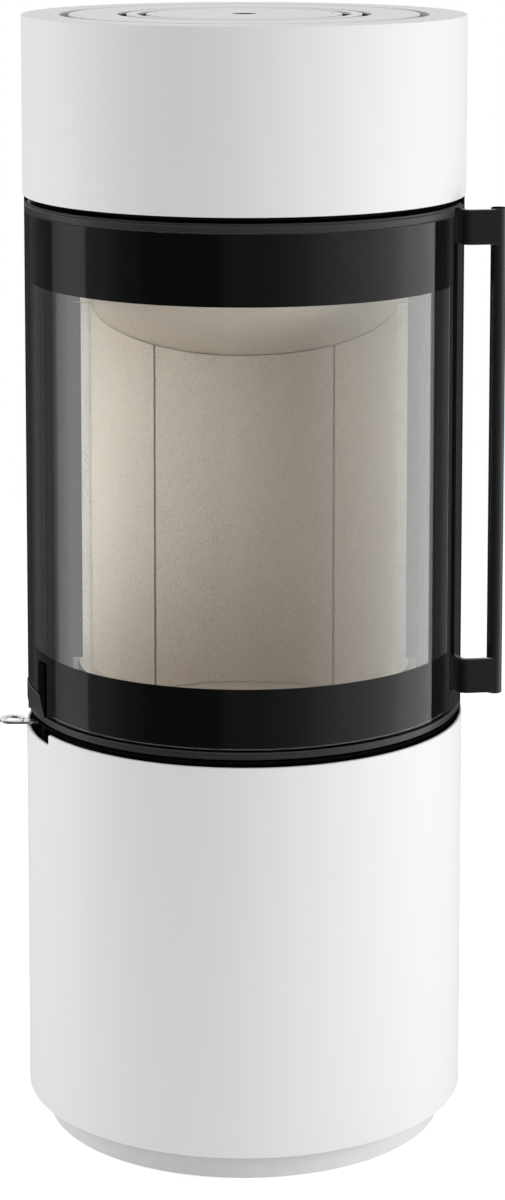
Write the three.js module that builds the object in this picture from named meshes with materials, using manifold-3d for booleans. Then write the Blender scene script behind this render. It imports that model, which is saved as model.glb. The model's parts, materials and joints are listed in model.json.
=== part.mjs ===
// A round wood stove: a white sheet-steel cylinder in two casings with a black firebox band
// between them, a curved glass door, a vertical bar handle and an air lever in a notch.
// Millimetres, +Z up. The origin is the centre of the base plate's underside, on the floor.
// The front looks along -Y and +X is on the viewer's right. Bearings are degrees about the
// upright axis, 0 at the front, 90 at the viewer's right, 180 at the back.

import * as THREE from 'three';
import { mergeVertices } from 'three/addons/utils/BufferGeometryUtils.js';
import Module from 'manifold-3d';

const wasm = await Module();
wasm.setup();

// ---------------------------------------------------------------- driving dimensions

const FIT = 0.3; // clearance between pieces that touch
const ARC_FIT = 0.7; // the same between arcs whose facets needn't line up
const OVER = 1; // how far cutters run past a face and joined shapes sink in
const ARC_STEP = 7.5; // degrees between facets on the shells
const SMALL_STEP = 12; // the same on the smoke dome, ash pan, grate and air valve
const HEXAGON = 6; // sides of bolt heads and nuts

// Outer casings
const CASING_RADIUS = 235;
const CASING_SHEET = 3;
const CASING_EDGE = 1.2; // rounding of the casings' outer edges
const PLINTH_SETBACK = 23; // plinth behind the casing above it
const PLINTH_HEIGHT = 31;
const PLINTH_FLANGE = 22;
const BASE_CASING_HEIGHT = 412.5;
const TOP_CASING_HEIGHT = 189.1;
const TOP_RIM_WIDTH = 40; // flat rim round the top
const TOP_RIM_LIP = 7; // how deep the rim's inner edge is turned down
const TOP_LIP_SHEET = 2;

// Top plates
const TOP_SHEET = 3;
const RIM_SLOT = 10; // air gap inside the rim
const COVER_WIDTH = 51; // outer ring of the top
const COVER_SLOT = 9.6;
const MIDDLE_RING_WIDTH = 11.4;
const MIDDLE_SLOT = 9.6;
const FINGER_HOLE_RADIUS = 13;
const FINGER_HOLE_SIDES = 24;
const SPIDER_DEPTH = 12;
const SPIDER_SHEET = 3;
const SPIDER_ARMS = [45, 135, 225, 315]; // angles of the arms in plan
const SPIDER_HUB_WIDTH = 5;
const SPIDER_HUB_INSET = 3.4; // how far the hub lies inside the lid's edge

// Door
const RECESS_HEIGHT = 7.5; // black gap over the base casing
const CROWN_GAP = 6.5; // black gap under the top casing
const BOTTOM_RAIL_HEIGHT = 8;
const TOP_RAIL_HEIGHT = 9.5;
const RAIL_SETBACK = 1.6; // door rails and black shell behind the casings' face
const RAIL_LEG = 30; // height of the rails' legs behind the glass
const DOOR_SHEET = 3;
const DOOR_DEPTH = 13.4; // from the rails' face to the back of the door's stiles
const GLASS_HEIGHT = 526.4;
const GLASS_THICKNESS = 4;
const GLASS_SETBACK = 1.2; // glass behind the rails' face
const GLASS_GAP = 1.8; // gap between the bottom rail and the glass
const GLASS_LEFT = -85;
const GLASS_RIGHT = 69.3;
const DOOR_LEFT = -85.3;
const DOOR_RIGHT = 80.5;
const HINGE_STILE_RIGHT = -77.5;
const HANDLE_STILE_LEFT = 66;
const GROOVE_RIGHT = 73.2;
const GROOVE_FLOOR_HEIGHT = 22; // closed foot of the groove beside the glass
const STRIP_SETBACK = 0.6; // strip beyond the groove behind the rails' face
const SIDE_MARGIN = 0.2; // degrees kept free beside the stiles and the glass
const GASKET_BEARING = -78.75; // middle of the gasket's run on the hinge side
const GASKET_WIDTH = 9;
const SEAL_HEIGHT = 12;
const SEAL_INSET = 2; // seal behind the glass's upper and lower edges

// Hinge
const HINGE_SETBACK = 7.4; // pin behind the rails' face
const HINGE_BEARING = -83;
const HINGE_PIN_RADIUS = 3.5;
const HINGE_LUG_RADIUS = 7.2;
const HINGE_WASHER = 1.4;

// Handle
const HANDLE_RADIUS = 8;
const HANDLE_SIDES = 24;
const HANDLE_OVER_DOOR = 0.8; // bar's head over the door's upper edge
const HANDLE_RISE = 3; // bar's foot over the foot of the groove
const HANDLE_AHEAD = 20.85; // bar centre before the bracket's root
const HANDLE_ASIDE = 46.04; // bar centre right of the bracket's root
const HANDLE_BEVEL = 1;
const HANDLE_OVERHANG = 1.5; // bar beyond each bracket
const BRACKET_HEIGHT = 36.5;
const BRACKET_SHEET = 6;
const BRACKET_BEND = 4; // inner radius of the bend
const BRACKET_LEG = 33; // from the groove to the bend
const BRACKET_LEG_BEARING = 21.2;
const BRACKET_ROOT_BEARING = 71.7;
const BRACKET_AHEAD = 5; // the arm's middle before the bar's centre
const BRACKET_EDGE = 0.8;

// Corner cover with its tongue, at the foot of the door's hinge side
const COVER_SHEET = 1.4;
const COVER_HEIGHT = 21;
const COVER_RIGHT = -64;
const TONGUE_LEFT = -70.5;
const TONGUE_RIGHT = -65.5;
const TONGUE_HEIGHT = 36;

// Air lever and its notch
const LEVER_SHEET = 3;
const LEVER_WIDTH = 10;
const LEVER_AHEAD = 31; // bar's centre line before the stove's axis
const LEVER_DROP = 7.5; // lever's upper face below the casing's rim
const LEVER_INSET = 21; // lever's upright part behind the casing's face
const EYE_RADIUS = 14.5;
const EYE_HOLE_RADIUS = 8.5;
const EYE_SIDES = 32;
const EYE_REACH = 14.5; // eye centre beyond the casing's face
const ARM_WIDTH = 14;
const ARM_PLAY = 3; // room under the arm in the pedestal's slot
const LEVER_TRAVEL = 18; // degrees each way from the middle
const NOTCH_DEPTH = 11.5;
const NOTCH_MARGIN = 2.3; // degrees between the lever and the notch's ends
const NOTCH_CORNER = 3;

// Air valve under the ash pit
const VALVE_RADIUS = 68;
const VALVE_SHEET = 3;
const VALVE_WINDOWS = 4;
const WINDOW_ANGLE = 34;
const WINDOW_INNER = 26;
const WINDOW_OUTER = 60;
const WINDOW_BEARING = 45; // middle of the first window
const PIVOT_RADIUS = 4;
const PIVOT_HEAD_RADIUS = 8;
const PIVOT_HEAD_HEIGHT = 6;

// Firebox
const FRAME_DEPTH = 23.5; // from the frame's sealing face back to the firebox wall
const FIREBOX_SHEET = 4;
const HEARTH_DROP = 54; // firebox's underside below the door's lower edge
const FIREBOX_BELOW_DOOR = 12; // firebox roof below the door's top edge
const SMOKE_HOLE_RADIUS = 96;
const PIT_RADIUS = 80;
const PIT_SHEET = 3;
const PIT_DEPTH = 45;
const FRAME_SHEET = 3;
const FRAME_GAP = 6.5; // room for the gasket between frame and door
const FRAME_HALF_ANGLE = 84;
const FRAME_WALL_ANGLE = 1; // degrees that the frame's side walls span
const FRAME_LIP = 28; // height of the sealing faces above and below the opening
const SILL_RISE = 1; // frame's sill over the door's lower edge
const POST_LEFT = -76;
const POST_RIGHT = 73;
const POST_RIGHT_END = 78.5;

// Lining
const LINING_GAP = 0.5; // between the panels and the firebox wall
const LINING_THICKNESS = 22.5;
const FLOOR_THICKNESS = 24.7;
const BACK_PANEL_HALF_ANGLE = 37.6;
const LIP_HEIGHT = 71;
const LIP_THICKNESS = 15;
const LIP_INSET = 6.5; // lip within the panels' outer face
const LIP_HALF_ANGLE = 89.7;
const BAFFLE_THICKNESS = 25;
const BAFFLE_DROP = 99; // underside on the stove's axis below the firebox roof
const BAFFLE_SLOPE = 27.25; // degrees, rising to the front
const BAFFLE_AHEAD = 60; // front edge before the stove's axis
const SHELF_DROP = 31; // shelf's underside below the firebox roof
const SHELF_SHEET = 3;
const SHELF_BEHIND = 100;

// Ash pan and grate
const GRATE_RADIUS = 84;
const GRATE_THICKNESS = 11;
const GRATE_RIM = 8;
const GRATE_EDGE = 1.5;
const GRATE_SLOTS = 7;
const GRATE_SLOT_WIDTH = 6;
const GRATE_BAR_WIDTH = 10;
const ASH_PAN_RADIUS = 70;
const ASH_PAN_SHEET = 2;
const ASH_PAN_DEPTH = 36;
const ASH_PAN_CORNER = 4;

// Carcass
const BASE_SHEET = 5;
const DECK_SHEET = 3;
const PEDESTAL_WIDTH = 236;
const PEDESTAL_DEPTH = 220;
const PEDESTAL_CORNER = 22;
const PEDESTAL_SHEET = 3;
const PEDESTAL_FOOT = 22;
const SHELL_SHEET = 2;
const SHELL_LEFT = -87.3;
const SHELL_RIGHT = 82;
const SHIELD_GAP = 9.4; // between the shield and the shell
const SHIELD_SHEET = 1.5;
const SHIELD_HALF_ANGLE = 78;
const RING_SHEET = 3;
const COLLAR_RADIUS = 153;

// Levelling screws
const SCREW_COUNT = 4;
const SCREW_INSET = 47; // screws within the plinth's outside
const SCREW_BEARING = 45;
const SCREW_RADIUS = 5;
const SCREW_HEAD_RADIUS = 8.5;
const SCREW_HEAD_HEIGHT = 6;
const BOSS_RADIUS = 11;
const BOSS_HEIGHT = 12;

// Smoke dome, flue collar and air spigot
const DOME_RADIUS = 110;
const DOME_SHEET = 3;
const DOME_DROP = 20.3; // dome's roof below the stove's top
const DOME_CORNER = 4;
const DOME_FLANGE = 14;
const FLUE_RADIUS = 75;
const FLUE_SHEET = 3;
const FLUE_DROP = 100.6; // centre of the flue collar below the stove's top
const FLUE_REACH = 17; // collar's end beyond the casing's face
const FLUE_MARGIN = 3; // gap round the collar in the casing
const PLUG_DEPTH = 6;
const PLUG_SHEET = 2;
const PLUG_FLANGE = 8;
const SPIGOT_RADIUS = 50;
const SPIGOT_SHEET = 3;
const SPIGOT_HEIGHT = 120;
const SPIGOT_REACH = 11; // spigot's end beyond the casing's face
const SPIGOT_FLANGE = 12;

// Door catch
const CATCH_HEIGHT = 28;
const CATCH_ANGLE = 1.8; // degrees that the catch's stud spans
const SPRING_ANGLE = 1; // degrees that the catch's spring spans

// ---------------------------------------------------------------- levels and radii worked out

const plinthRadius = CASING_RADIUS - PLINTH_SETBACK;
const baseCasingTop = PLINTH_HEIGHT + BASE_CASING_HEIGHT;
const doorLow = baseCasingTop + RECESS_HEIGHT;
const bottomRailTop = doorLow + BOTTOM_RAIL_HEIGHT;
const glassLow = bottomRailTop + GLASS_GAP;
const glassHigh = glassLow + GLASS_HEIGHT;
const topRailLow = glassHigh + FIT;
const doorHigh = topRailLow + TOP_RAIL_HEIGHT;
const topCasingLow = doorHigh + CROWN_GAP;
const stoveTop = topCasingLow + TOP_CASING_HEIGHT;
const doorMiddle = (doorLow + doorHigh) / 2;

const casingBore = CASING_RADIUS - CASING_SHEET;
const topPlateLow = stoveTop - TOP_SHEET;
const rimInner = CASING_RADIUS - TOP_RIM_WIDTH;
const coverOuter = rimInner - RIM_SLOT;
const coverInner = coverOuter - COVER_WIDTH;
const middleOuter = coverInner - COVER_SLOT;
const middleInner = middleOuter - MIDDLE_RING_WIDTH;
const lidRadius = middleInner - MIDDLE_SLOT;

const railRadius = CASING_RADIUS - RAIL_SETBACK;
const glassOuter = railRadius - GLASS_SETBACK;
const glassInner = glassOuter - GLASS_THICKNESS;
const stileOuter = glassInner - ARC_FIT;
const doorInner = railRadius - DOOR_DEPTH;
const hingeRadius = railRadius - HINGE_SETBACK;
const frameRadius = doorInner - FRAME_GAP;
const gasketInner = frameRadius + ARC_FIT;

const crownTop = topCasingLow - FIT;
const crownLow = crownTop - RING_SHEET;
const hearthTop = doorLow - HINGE_WASHER - 2 * FIT;
const hearthLow = hearthTop - RING_SHEET;

const fireboxTop = doorHigh - FIREBOX_BELOW_DOOR;
const fireboxLow = doorLow - HEARTH_DROP;
const fireboxRadius = frameRadius - FRAME_DEPTH;
const fireboxBore = fireboxRadius - FIREBOX_SHEET;
const hearthFloor = fireboxLow + FIREBOX_SHEET;
const pitLow = fireboxLow - PIT_DEPTH;
const sillLow = doorLow + SILL_RISE;
const openingLow = sillLow + FRAME_SHEET;
const openingHigh = fireboxTop - FRAME_SHEET;

const stoneTop = hearthFloor + FIT + FLOOR_THICKNESS;
const liningLow = stoneTop + FIT;
const liningOuter = fireboxBore - LINING_GAP;
const liningInner = liningOuter - LINING_THICKNESS;
const lipOuter = liningOuter - LIP_INSET;
const lipInner = lipOuter - LIP_THICKNESS;
const shelfLow = fireboxTop - SHELF_DROP;
const baffleLow = fireboxTop - BAFFLE_DROP;

const valveTop = pitLow - FIT;
const valveLow = valveTop - VALVE_SHEET;
const armTop = valveLow - FIT;
const armLow = armTop - LEVER_SHEET;
const leverTop = baseCasingTop - LEVER_DROP;
const leverLow = leverTop - LEVER_SHEET;
const riserRadius = CASING_RADIUS - LEVER_INSET;
const eyeReach = CASING_RADIUS + EYE_REACH;

const deckLow = PLINTH_HEIGHT + FIT;
const deckTop = deckLow + DECK_SHEET;
const pedestalLow = deckTop + FIT;
const pedestalTop = fireboxLow - FIT;

const shellOuter = railRadius;
const shellInner = shellOuter - SHELL_SHEET;
const shieldRadius = shellInner - SHIELD_GAP;
const domeLow = fireboxTop + FIT;
const domeTop = stoveTop - DOME_DROP;
const flueHeight = stoveTop - FLUE_DROP;
const flueEnd = CASING_RADIUS + FLUE_REACH;
const spigotEnd = CASING_RADIUS + SPIGOT_REACH;

// ---------------------------------------------------------------- shaping tools

const radians = THREE.MathUtils.degToRad;

/** The polar angle in radians of a bearing in degrees. */
const polar = (bearing) => radians(bearing - 90);

/** The point at a radius and bearing in plan. */
function at(radius, bearing) {
  return new THREE.Vector2(radius * Math.cos(polar(bearing)), radius * Math.sin(polar(bearing)));
}

/** A solid that can be cut and joined, from a closed three.js geometry. */
function solid(geometry) {
  const bare = geometry.clone();
  bare.deleteAttribute('normal');
  bare.deleteAttribute('uv');
  const merged = mergeVertices(bare, 1e-4);
  const corners = merged.index.array;
  const triVerts = [];
  for (let i = 0; i < corners.length; i += 3) {
    const [a, b, c] = corners.slice(i, i + 3);
    if (a !== b && b !== c && c !== a) triVerts.push(a, b, c);
  }
  const mesh = { numProp: 3, vertProperties: merged.attributes.position.array };
  const made = new wasm.Manifold(new wasm.Mesh({ ...mesh, triVerts: new Uint32Array(triVerts) }));
  if (made.volume() > 0) return made;
  for (let i = 0; i < triVerts.length; i += 3) {
    [triVerts[i], triVerts[i + 1]] = [triVerts[i + 1], triVerts[i]];
  }
  return new wasm.Manifold(new wasm.Mesh({ ...mesh, triVerts: new Uint32Array(triVerts) }));
}

/** Joins several solids into one. */
const join = (first, ...others) => others.reduce((sum, other) => sum.add(other), first);

/** Cuts several solids out of one. */
const cut = (first, ...others) => others.reduce((rest, other) => rest.subtract(other), first);

/** Points of a closed outline whose corners [x, y, radius] are rounded to their radius. */
function rounded(corners, steps = 3) {
  return corners.flatMap(([x, y, radius = 0], index) => {
    const corner = new THREE.Vector2(x, y);
    if (radius === 0) return [corner];
    const [before, after] = [corners.at(index - 1), corners[(index + 1) % corners.length]].map(
      ([px, py]) => new THREE.Vector2(px, py).sub(corner).normalize(),
    );
    const half = Math.acos(before.dot(after)) / 2;
    const middle = before.clone().add(after).setLength(radius / Math.sin(half)).add(corner);
    const reach = radius / Math.tan(half);
    const start = before.multiplyScalar(reach).add(corner).sub(middle);
    const end = after.multiplyScalar(reach).add(corner).sub(middle);
    const turn = Math.PI - 2 * half;
    return Array.from({ length: steps + 1 }, (_, step) => {
      const share = (step / steps) * turn;
      const point = start.clone().multiplyScalar(Math.sin(turn - share));
      point.add(end.clone().multiplyScalar(Math.sin(share)));
      return point.divideScalar(Math.sin(turn)).add(middle);
    });
  });
}

/** A shape pulled up between two levels, with each arc in twice so many steps. */
function pullShape(shape, low, high, curveSegments) {
  const options = { depth: high - low, bevelEnabled: false, curveSegments };
  return solid(new THREE.ExtrudeGeometry(shape, options).translate(0, 0, low));
}

/** An outline of [x, y] or [x, y, corner radius] pulled up from one level to another. */
function pull(corners, low, high) {
  return pullShape(new THREE.Shape(rounded(corners)), low, high, 1);
}

/** Part of an upright ring between two bearings. */
function sector(inner, outer, low, high, from, to, step = ARC_STEP) {
  const shape = new THREE.Shape();
  shape.absarc(0, 0, outer, polar(from), polar(to), false);
  shape.absarc(0, 0, inner, polar(to), polar(from), true);
  return pullShape(shape, low, high, Math.ceil((to - from) / step / 2));
}

/** A closed profile of [radius, level] or [radius, level, corner radius] turned about the axis. */
function turn(corners, step = ARC_STEP) {
  const profile = rounded(corners, 1);
  profile.push(profile[0].clone());
  return solid(new THREE.LatheGeometry(profile, Math.round(360 / step)).rotateX(Math.PI / 2));
}

/** An upright tube, or with no bore an upright disc. */
function tube(inner, outer, low, high, step = ARC_STEP) {
  const profile = [[outer, low], [outer, high], [inner, high], [inner, low]];
  return turn(profile, step);
}

/** An upright round bar or hole at a place in plan. */
function bar(radius, low, high, place = new THREE.Vector2(), sides = 12) {
  const round = new THREE.CylinderGeometry(radius, radius, high - low, sides).rotateX(Math.PI / 2);
  return solid(round.translate(place.x, place.y, (low + high) / 2));
}

/** A flat round plate about the axis. */
function disc(radius, low, high, step = ARC_STEP) {
  return bar(radius, low, high, undefined, Math.round(360 / step));
}

/** A level round bar or hole that runs from front to back. */
function levelBar(radius, front, back, level, sides = 24) {
  const round = new THREE.CylinderGeometry(radius, radius, back - front, sides);
  return solid(round.translate(0, (front + back) / 2, level));
}

/** A block between two corners. */
function block(low, high) {
  const size = high.map((value, axis) => value - low[axis]);
  const centre = high.map((value, axis) => (value + low[axis]) / 2);
  return solid(new THREE.BoxGeometry(...size).translate(...centre));
}

/** Cutters for the air valve's windows through a plate, evenly round the axis. */
function windows(low, high, bearing) {
  const half = WINDOW_ANGLE / 2;
  return Array.from({ length: VALVE_WINDOWS }, (_, index) => {
    const middle = bearing + (index * 360) / VALVE_WINDOWS;
    return sector(
      WINDOW_INNER,
      WINDOW_OUTER,
      low - OVER,
      high + OVER,
      middle - half,
      middle + half,
      SMALL_STEP,
    );
  });
}

// ---------------------------------------------------------------- materials

const finish = (color, roughness, metalness, more = {}) =>
  new THREE.MeshStandardMaterial({ color, roughness, metalness, ...more });

const WHITE_PAINT = finish(0xe9eaec, 0.55, 0);
const BLACK_PAINT = finish(0x17181a, 0.6, 0.2);
const DARK_RAIL = finish(0x2c2d2f, 0.45, 0.3);
const RAW_STEEL = finish(0x55585b, 0.5, 0.8);
const STAINLESS = finish(0xb9bbbd, 0.25, 1);
const VERMICULITE = finish(0xd6cfc3, 0.95, 0);
const CAST_IRON = finish(0x2a2a2a, 0.8, 0.4);
const FIBRE_ROPE = finish(0x303030, 1, 0);
const CLEAR_GLASS = finish(0x2a2e30, 0.05, 0, { transparent: true, opacity: 0.35 });

// ---------------------------------------------------------------- the assembly

const group = new THREE.Group();

/** Adds a named piece to the stove. */
function piece(name, shape, material) {
  const { vertProperties, triVerts } = shape.getMesh();
  const geometry = new THREE.BufferGeometry();
  geometry.setAttribute('position', new THREE.BufferAttribute(vertProperties, 3));
  geometry.setIndex(new THREE.BufferAttribute(triVerts, 1));
  geometry.computeVertexNormals();
  const mesh = new THREE.Mesh(geometry, material);
  mesh.name = name;
  group.add(mesh);
}

// ---- plinth and base

function addBase() {
  const plateRadius = plinthRadius - CASING_SHEET - FIT;
  const places = Array.from({ length: SCREW_COUNT }, (_, index) =>
    at(plinthRadius - SCREW_INSET, SCREW_BEARING + (index * 360) / SCREW_COUNT),
  );
  const bossTop = BASE_SHEET + BOSS_HEIGHT;
  const bosses = places.map((place) => bar(BOSS_RADIUS, BASE_SHEET / 2, bossTop, place));
  const holes = places.map((place) => bar(SCREW_RADIUS + FIT, -OVER, bossTop + OVER, place));
  const plate = join(disc(plateRadius, 0, BASE_SHEET), ...bosses);
  piece('base_plate', cut(plate, ...holes), BLACK_PAINT);

  places.forEach((place, index) => {
    const headLow = bossTop + FIT;
    const shank = bar(SCREW_RADIUS, FIT, headLow + OVER, place);
    const head = bar(SCREW_HEAD_RADIUS, headLow, headLow + SCREW_HEAD_HEIGHT, place, HEXAGON);
    piece(`levelling_screw_${index + 1}`, join(shank, head), RAW_STEEL);
  });

  const wall = plinthRadius - CASING_SHEET;
  const flange = plinthRadius - PLINTH_FLANGE;
  const flangeLow = PLINTH_HEIGHT - CASING_SHEET;
  const profile = [
    [plinthRadius, 0],
    [plinthRadius, PLINTH_HEIGHT],
    [flange, PLINTH_HEIGHT],
    [flange, flangeLow],
    [wall, flangeLow],
    [wall, 0],
  ];
  piece('plinth_ring', turn(profile), WHITE_PAINT);
  piece('base_deck', disc(casingBore - FIT, deckLow, deckTop), BLACK_PAINT);
}

// ---- base casing, pedestal and air spigot

/** Bearings of the lever's bar where it crosses the casing, front edge first. */
function leverBearings() {
  return [1, -1].map((side) => {
    const ahead = LEVER_AHEAD + (side * LEVER_WIDTH) / 2;
    return -90 + THREE.MathUtils.radToDeg(Math.asin(ahead / CASING_RADIUS));
  });
}

/** The rounded notch that the lever swings in, as a cutter through the casing's left side. */
function leverNotch() {
  const [front, back] = leverBearings();
  const from = back - LEVER_TRAVEL - NOTCH_MARGIN;
  const to = front + LEVER_TRAVEL + NOTCH_MARGIN;
  const low = baseCasingTop - NOTCH_DEPTH;
  const corner = THREE.MathUtils.radToDeg(NOTCH_CORNER / CASING_RADIUS);
  const inner = casingBore - OVER;
  const outer = CASING_RADIUS + OVER;
  return join(
    sector(inner, outer, low, low + NOTCH_CORNER + OVER, from + corner, to - corner),
    sector(inner, outer, low + NOTCH_CORNER, baseCasingTop + OVER, from, to),
  );
}

function addBaseCasing() {
  const profile = [
    [casingBore, PLINTH_HEIGHT],
    [CASING_RADIUS, PLINTH_HEIGHT, CASING_EDGE],
    [CASING_RADIUS, baseCasingTop, CASING_EDGE],
    [casingBore, baseCasingTop],
  ];
  const airHole = levelBar(SPIGOT_RADIUS + FLUE_MARGIN, 0, CASING_RADIUS + OVER, SPIGOT_HEIGHT);
  piece('base_casing', cut(turn(profile), leverNotch(), airHole), WHITE_PAINT);
}

/** A rounded rectangle about the axis, as an outline for pull. */
function roundedRectangle(width, depth, corner) {
  const [x, y] = [width / 2, depth / 2];
  return [[-x, -y, corner], [x, -y, corner], [x, y, corner], [-x, y, corner]];
}

function addPedestal() {
  const inner = (width) => width - 2 * PEDESTAL_SHEET;
  const outline = roundedRectangle(PEDESTAL_WIDTH, PEDESTAL_DEPTH, PEDESTAL_CORNER);
  const bore = roundedRectangle(
    inner(PEDESTAL_WIDTH),
    inner(PEDESTAL_DEPTH),
    PEDESTAL_CORNER - PEDESTAL_SHEET,
  );
  const foot = roundedRectangle(
    PEDESTAL_WIDTH + 2 * PEDESTAL_FOOT,
    PEDESTAL_DEPTH + 2 * PEDESTAL_FOOT,
    PEDESTAL_CORNER + PEDESTAL_FOOT,
  );
  const column = join(
    pull(outline, pedestalLow, pedestalTop),
    pull(foot, pedestalLow, pedestalLow + PEDESTAL_SHEET),
  );
  const wall = PEDESTAL_WIDTH / 2;
  const lean = Math.atan(LEVER_AHEAD / riserRadius);
  const swing = wall * Math.tan(radians(LEVER_TRAVEL) + lean) + ARM_WIDTH;
  const armSlot = block(
    [-wall - OVER, -swing, armLow - ARM_PLAY],
    [-wall + PEDESTAL_SHEET + OVER, swing, valveTop],
  );
  const backWall = PEDESTAL_DEPTH / 2;
  const airHole = levelBar(SPIGOT_RADIUS - SPIGOT_SHEET, 0, backWall + OVER, SPIGOT_HEIGHT);
  const hollow = pull(bore, pedestalLow - OVER, pedestalTop + OVER);
  piece('pedestal', cut(column, hollow, armSlot, airHole), BLACK_PAINT);

  const spigotFront = backWall + FIT;
  const flangeRadius = SPIGOT_RADIUS + SPIGOT_FLANGE;
  const spigot = join(
    levelBar(SPIGOT_RADIUS, spigotFront, spigotEnd, SPIGOT_HEIGHT),
    levelBar(flangeRadius, spigotFront, spigotFront + SPIGOT_SHEET, SPIGOT_HEIGHT),
  );
  const spigotBore = levelBar(
    SPIGOT_RADIUS - SPIGOT_SHEET,
    spigotFront - OVER,
    spigotEnd + OVER,
    SPIGOT_HEIGHT,
  );
  piece('air_spigot', cut(spigot, spigotBore), RAW_STEEL);
}

// ---- firebox: welded body, front frame, rings, shell and heat shield

function addFirebox() {
  const wallLow = hearthFloor + FIT;
  const roofLow = fireboxTop - FIREBOX_SHEET;
  const half = FRAME_HALF_ANGLE - FRAME_WALL_ANGLE;
  const opening = sector(
    fireboxBore - OVER,
    fireboxRadius + OVER,
    openingLow,
    roofLow,
    -half,
    half,
  );
  const wall = tube(fireboxBore, fireboxRadius, wallLow, roofLow - FIT);
  piece('firebox_body', cut(wall, opening), BLACK_PAINT);

  const floor = disc(fireboxRadius, fireboxLow, hearthFloor);
  const pitMouth = disc(PIT_RADIUS + FIT, fireboxLow - OVER, hearthFloor + OVER, SMALL_STEP);
  piece('firebox_floor', cut(floor, pitMouth), BLACK_PAINT);
  piece('firebox_roof', tube(SMOKE_HOLE_RADIUS, fireboxRadius, roofLow, fireboxTop), BLACK_PAINT);
}

/** The cup under the hearth that the ash pan hangs in, with the air valve's windows. */
function addAshPit() {
  const bore = PIT_RADIUS - PIT_SHEET;
  const cup = cut(
    disc(PIT_RADIUS, pitLow, hearthFloor, SMALL_STEP),
    disc(bore, pitLow + PIT_SHEET, hearthFloor + OVER, SMALL_STEP),
    bar(PIVOT_RADIUS + FIT, pitLow - OVER, pitLow + PIT_SHEET + OVER),
    ...windows(pitLow, pitLow + PIT_SHEET, WINDOW_BEARING),
  );
  piece('ash_pit', cup, BLACK_PAINT);
}

function addFrontFrame() {
  const inner = fireboxRadius + ARC_FIT;
  const face = frameRadius - FRAME_SHEET;
  const half = FRAME_HALF_ANGLE;
  const side = half - FRAME_WALL_ANGLE;
  const part = (low, high, from, to, r0 = inner, r1 = frameRadius) =>
    sector(r0, r1, low, high, from, to);
  const catchLow = doorMiddle - CATCH_HEIGHT;
  const catchHigh = doorMiddle + CATCH_HEIGHT;
  const sill = join(
    part(sillLow, openingLow, -half, half),
    part(sillLow, openingLow + FRAME_LIP, -half, half, face),
  );
  const lintel = join(
    part(openingHigh, fireboxTop, -half, half),
    part(openingHigh - FRAME_LIP, fireboxTop, -half, half, face),
  );
  const low = openingLow + FRAME_LIP + FIT;
  const high = openingHigh - FRAME_LIP - FIT;
  const leftPost = join(
    part(low, high, -half, -side),
    part(low, high, -half, POST_LEFT, face),
  );
  const catchRecess = part(
    catchLow - FIT,
    catchHigh + FIT,
    POST_RIGHT_END,
    side,
    face - OVER,
    frameRadius + OVER,
  );
  const rightPost = join(
    cut(part(low, high, POST_RIGHT, half, face), catchRecess),
    part(low, high, side, half),
    part(catchLow, catchHigh, side, half, face, doorInner - FIT),
  );
  piece('frame_sill', sill, BLACK_PAINT);
  piece('frame_lintel', lintel, BLACK_PAINT);
  piece('frame_post_left', leftPost, BLACK_PAINT);
  piece('frame_post_right', rightPost, BLACK_PAINT);

  const springEnd = side - THREE.MathUtils.radToDeg(FIT / frameRadius);
  const spring = sector(
    frameRadius,
    doorInner - 2 * FIT,
    doorMiddle - CATCH_HEIGHT / 2,
    doorMiddle + CATCH_HEIGHT / 2,
    springEnd - SPRING_ANGLE,
    springEnd,
  );
  piece('catch_spring', spring, STAINLESS);
}

function addRingsAndShell() {
  const pin = at(hingeRadius, HINGE_BEARING);
  const pinHole = bar(HINGE_PIN_RADIUS + FIT, hearthLow - OVER, crownTop + OVER, pin);
  const hearth = tube(fireboxRadius + FIT, shellInner - ARC_FIT, hearthLow, hearthTop);
  piece('hearth_ring', cut(hearth, pinHole), BLACK_PAINT);

  const collarInner = COLLAR_RADIUS - RING_SHEET;
  const crown = turn([
    [collarInner, fireboxTop + FIT],
    [COLLAR_RADIUS, fireboxTop + FIT],
    [COLLAR_RADIUS, crownLow],
    [shellInner - ARC_FIT, crownLow],
    [shellInner - ARC_FIT, crownTop],
    [collarInner, crownTop],
  ]);
  piece('crown_ring', cut(crown, pinHole), BLACK_PAINT);

  const shellLow = baseCasingTop + FIT;
  const shellEnd = SHELL_LEFT + 360;
  const shell = sector(shellInner, shellOuter, shellLow, crownTop, SHELL_RIGHT, shellEnd);
  piece('outer_shell', shell, BLACK_PAINT);

  const shield = sector(
    shieldRadius - SHIELD_SHEET,
    shieldRadius,
    hearthTop + FIT,
    crownLow - FIT,
    180 - SHIELD_HALF_ANGLE,
    180 + SHIELD_HALF_ANGLE,
  );
  piece('rear_heat_shield', shield, RAW_STEEL);
}

// ---- lining, baffle and hearth

/** Everything above the baffle's underside, raised by a margin. */
function aboveBaffle(margin, thickness) {
  const reach = 2 * fireboxRadius;
  const slab = new THREE.BoxGeometry(reach, 2 * reach, thickness);
  slab.translate(0, 0, thickness / 2 + margin);
  slab.rotateX(-radians(BAFFLE_SLOPE));
  return solid(slab.translate(0, 0, baffleLow));
}

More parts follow.
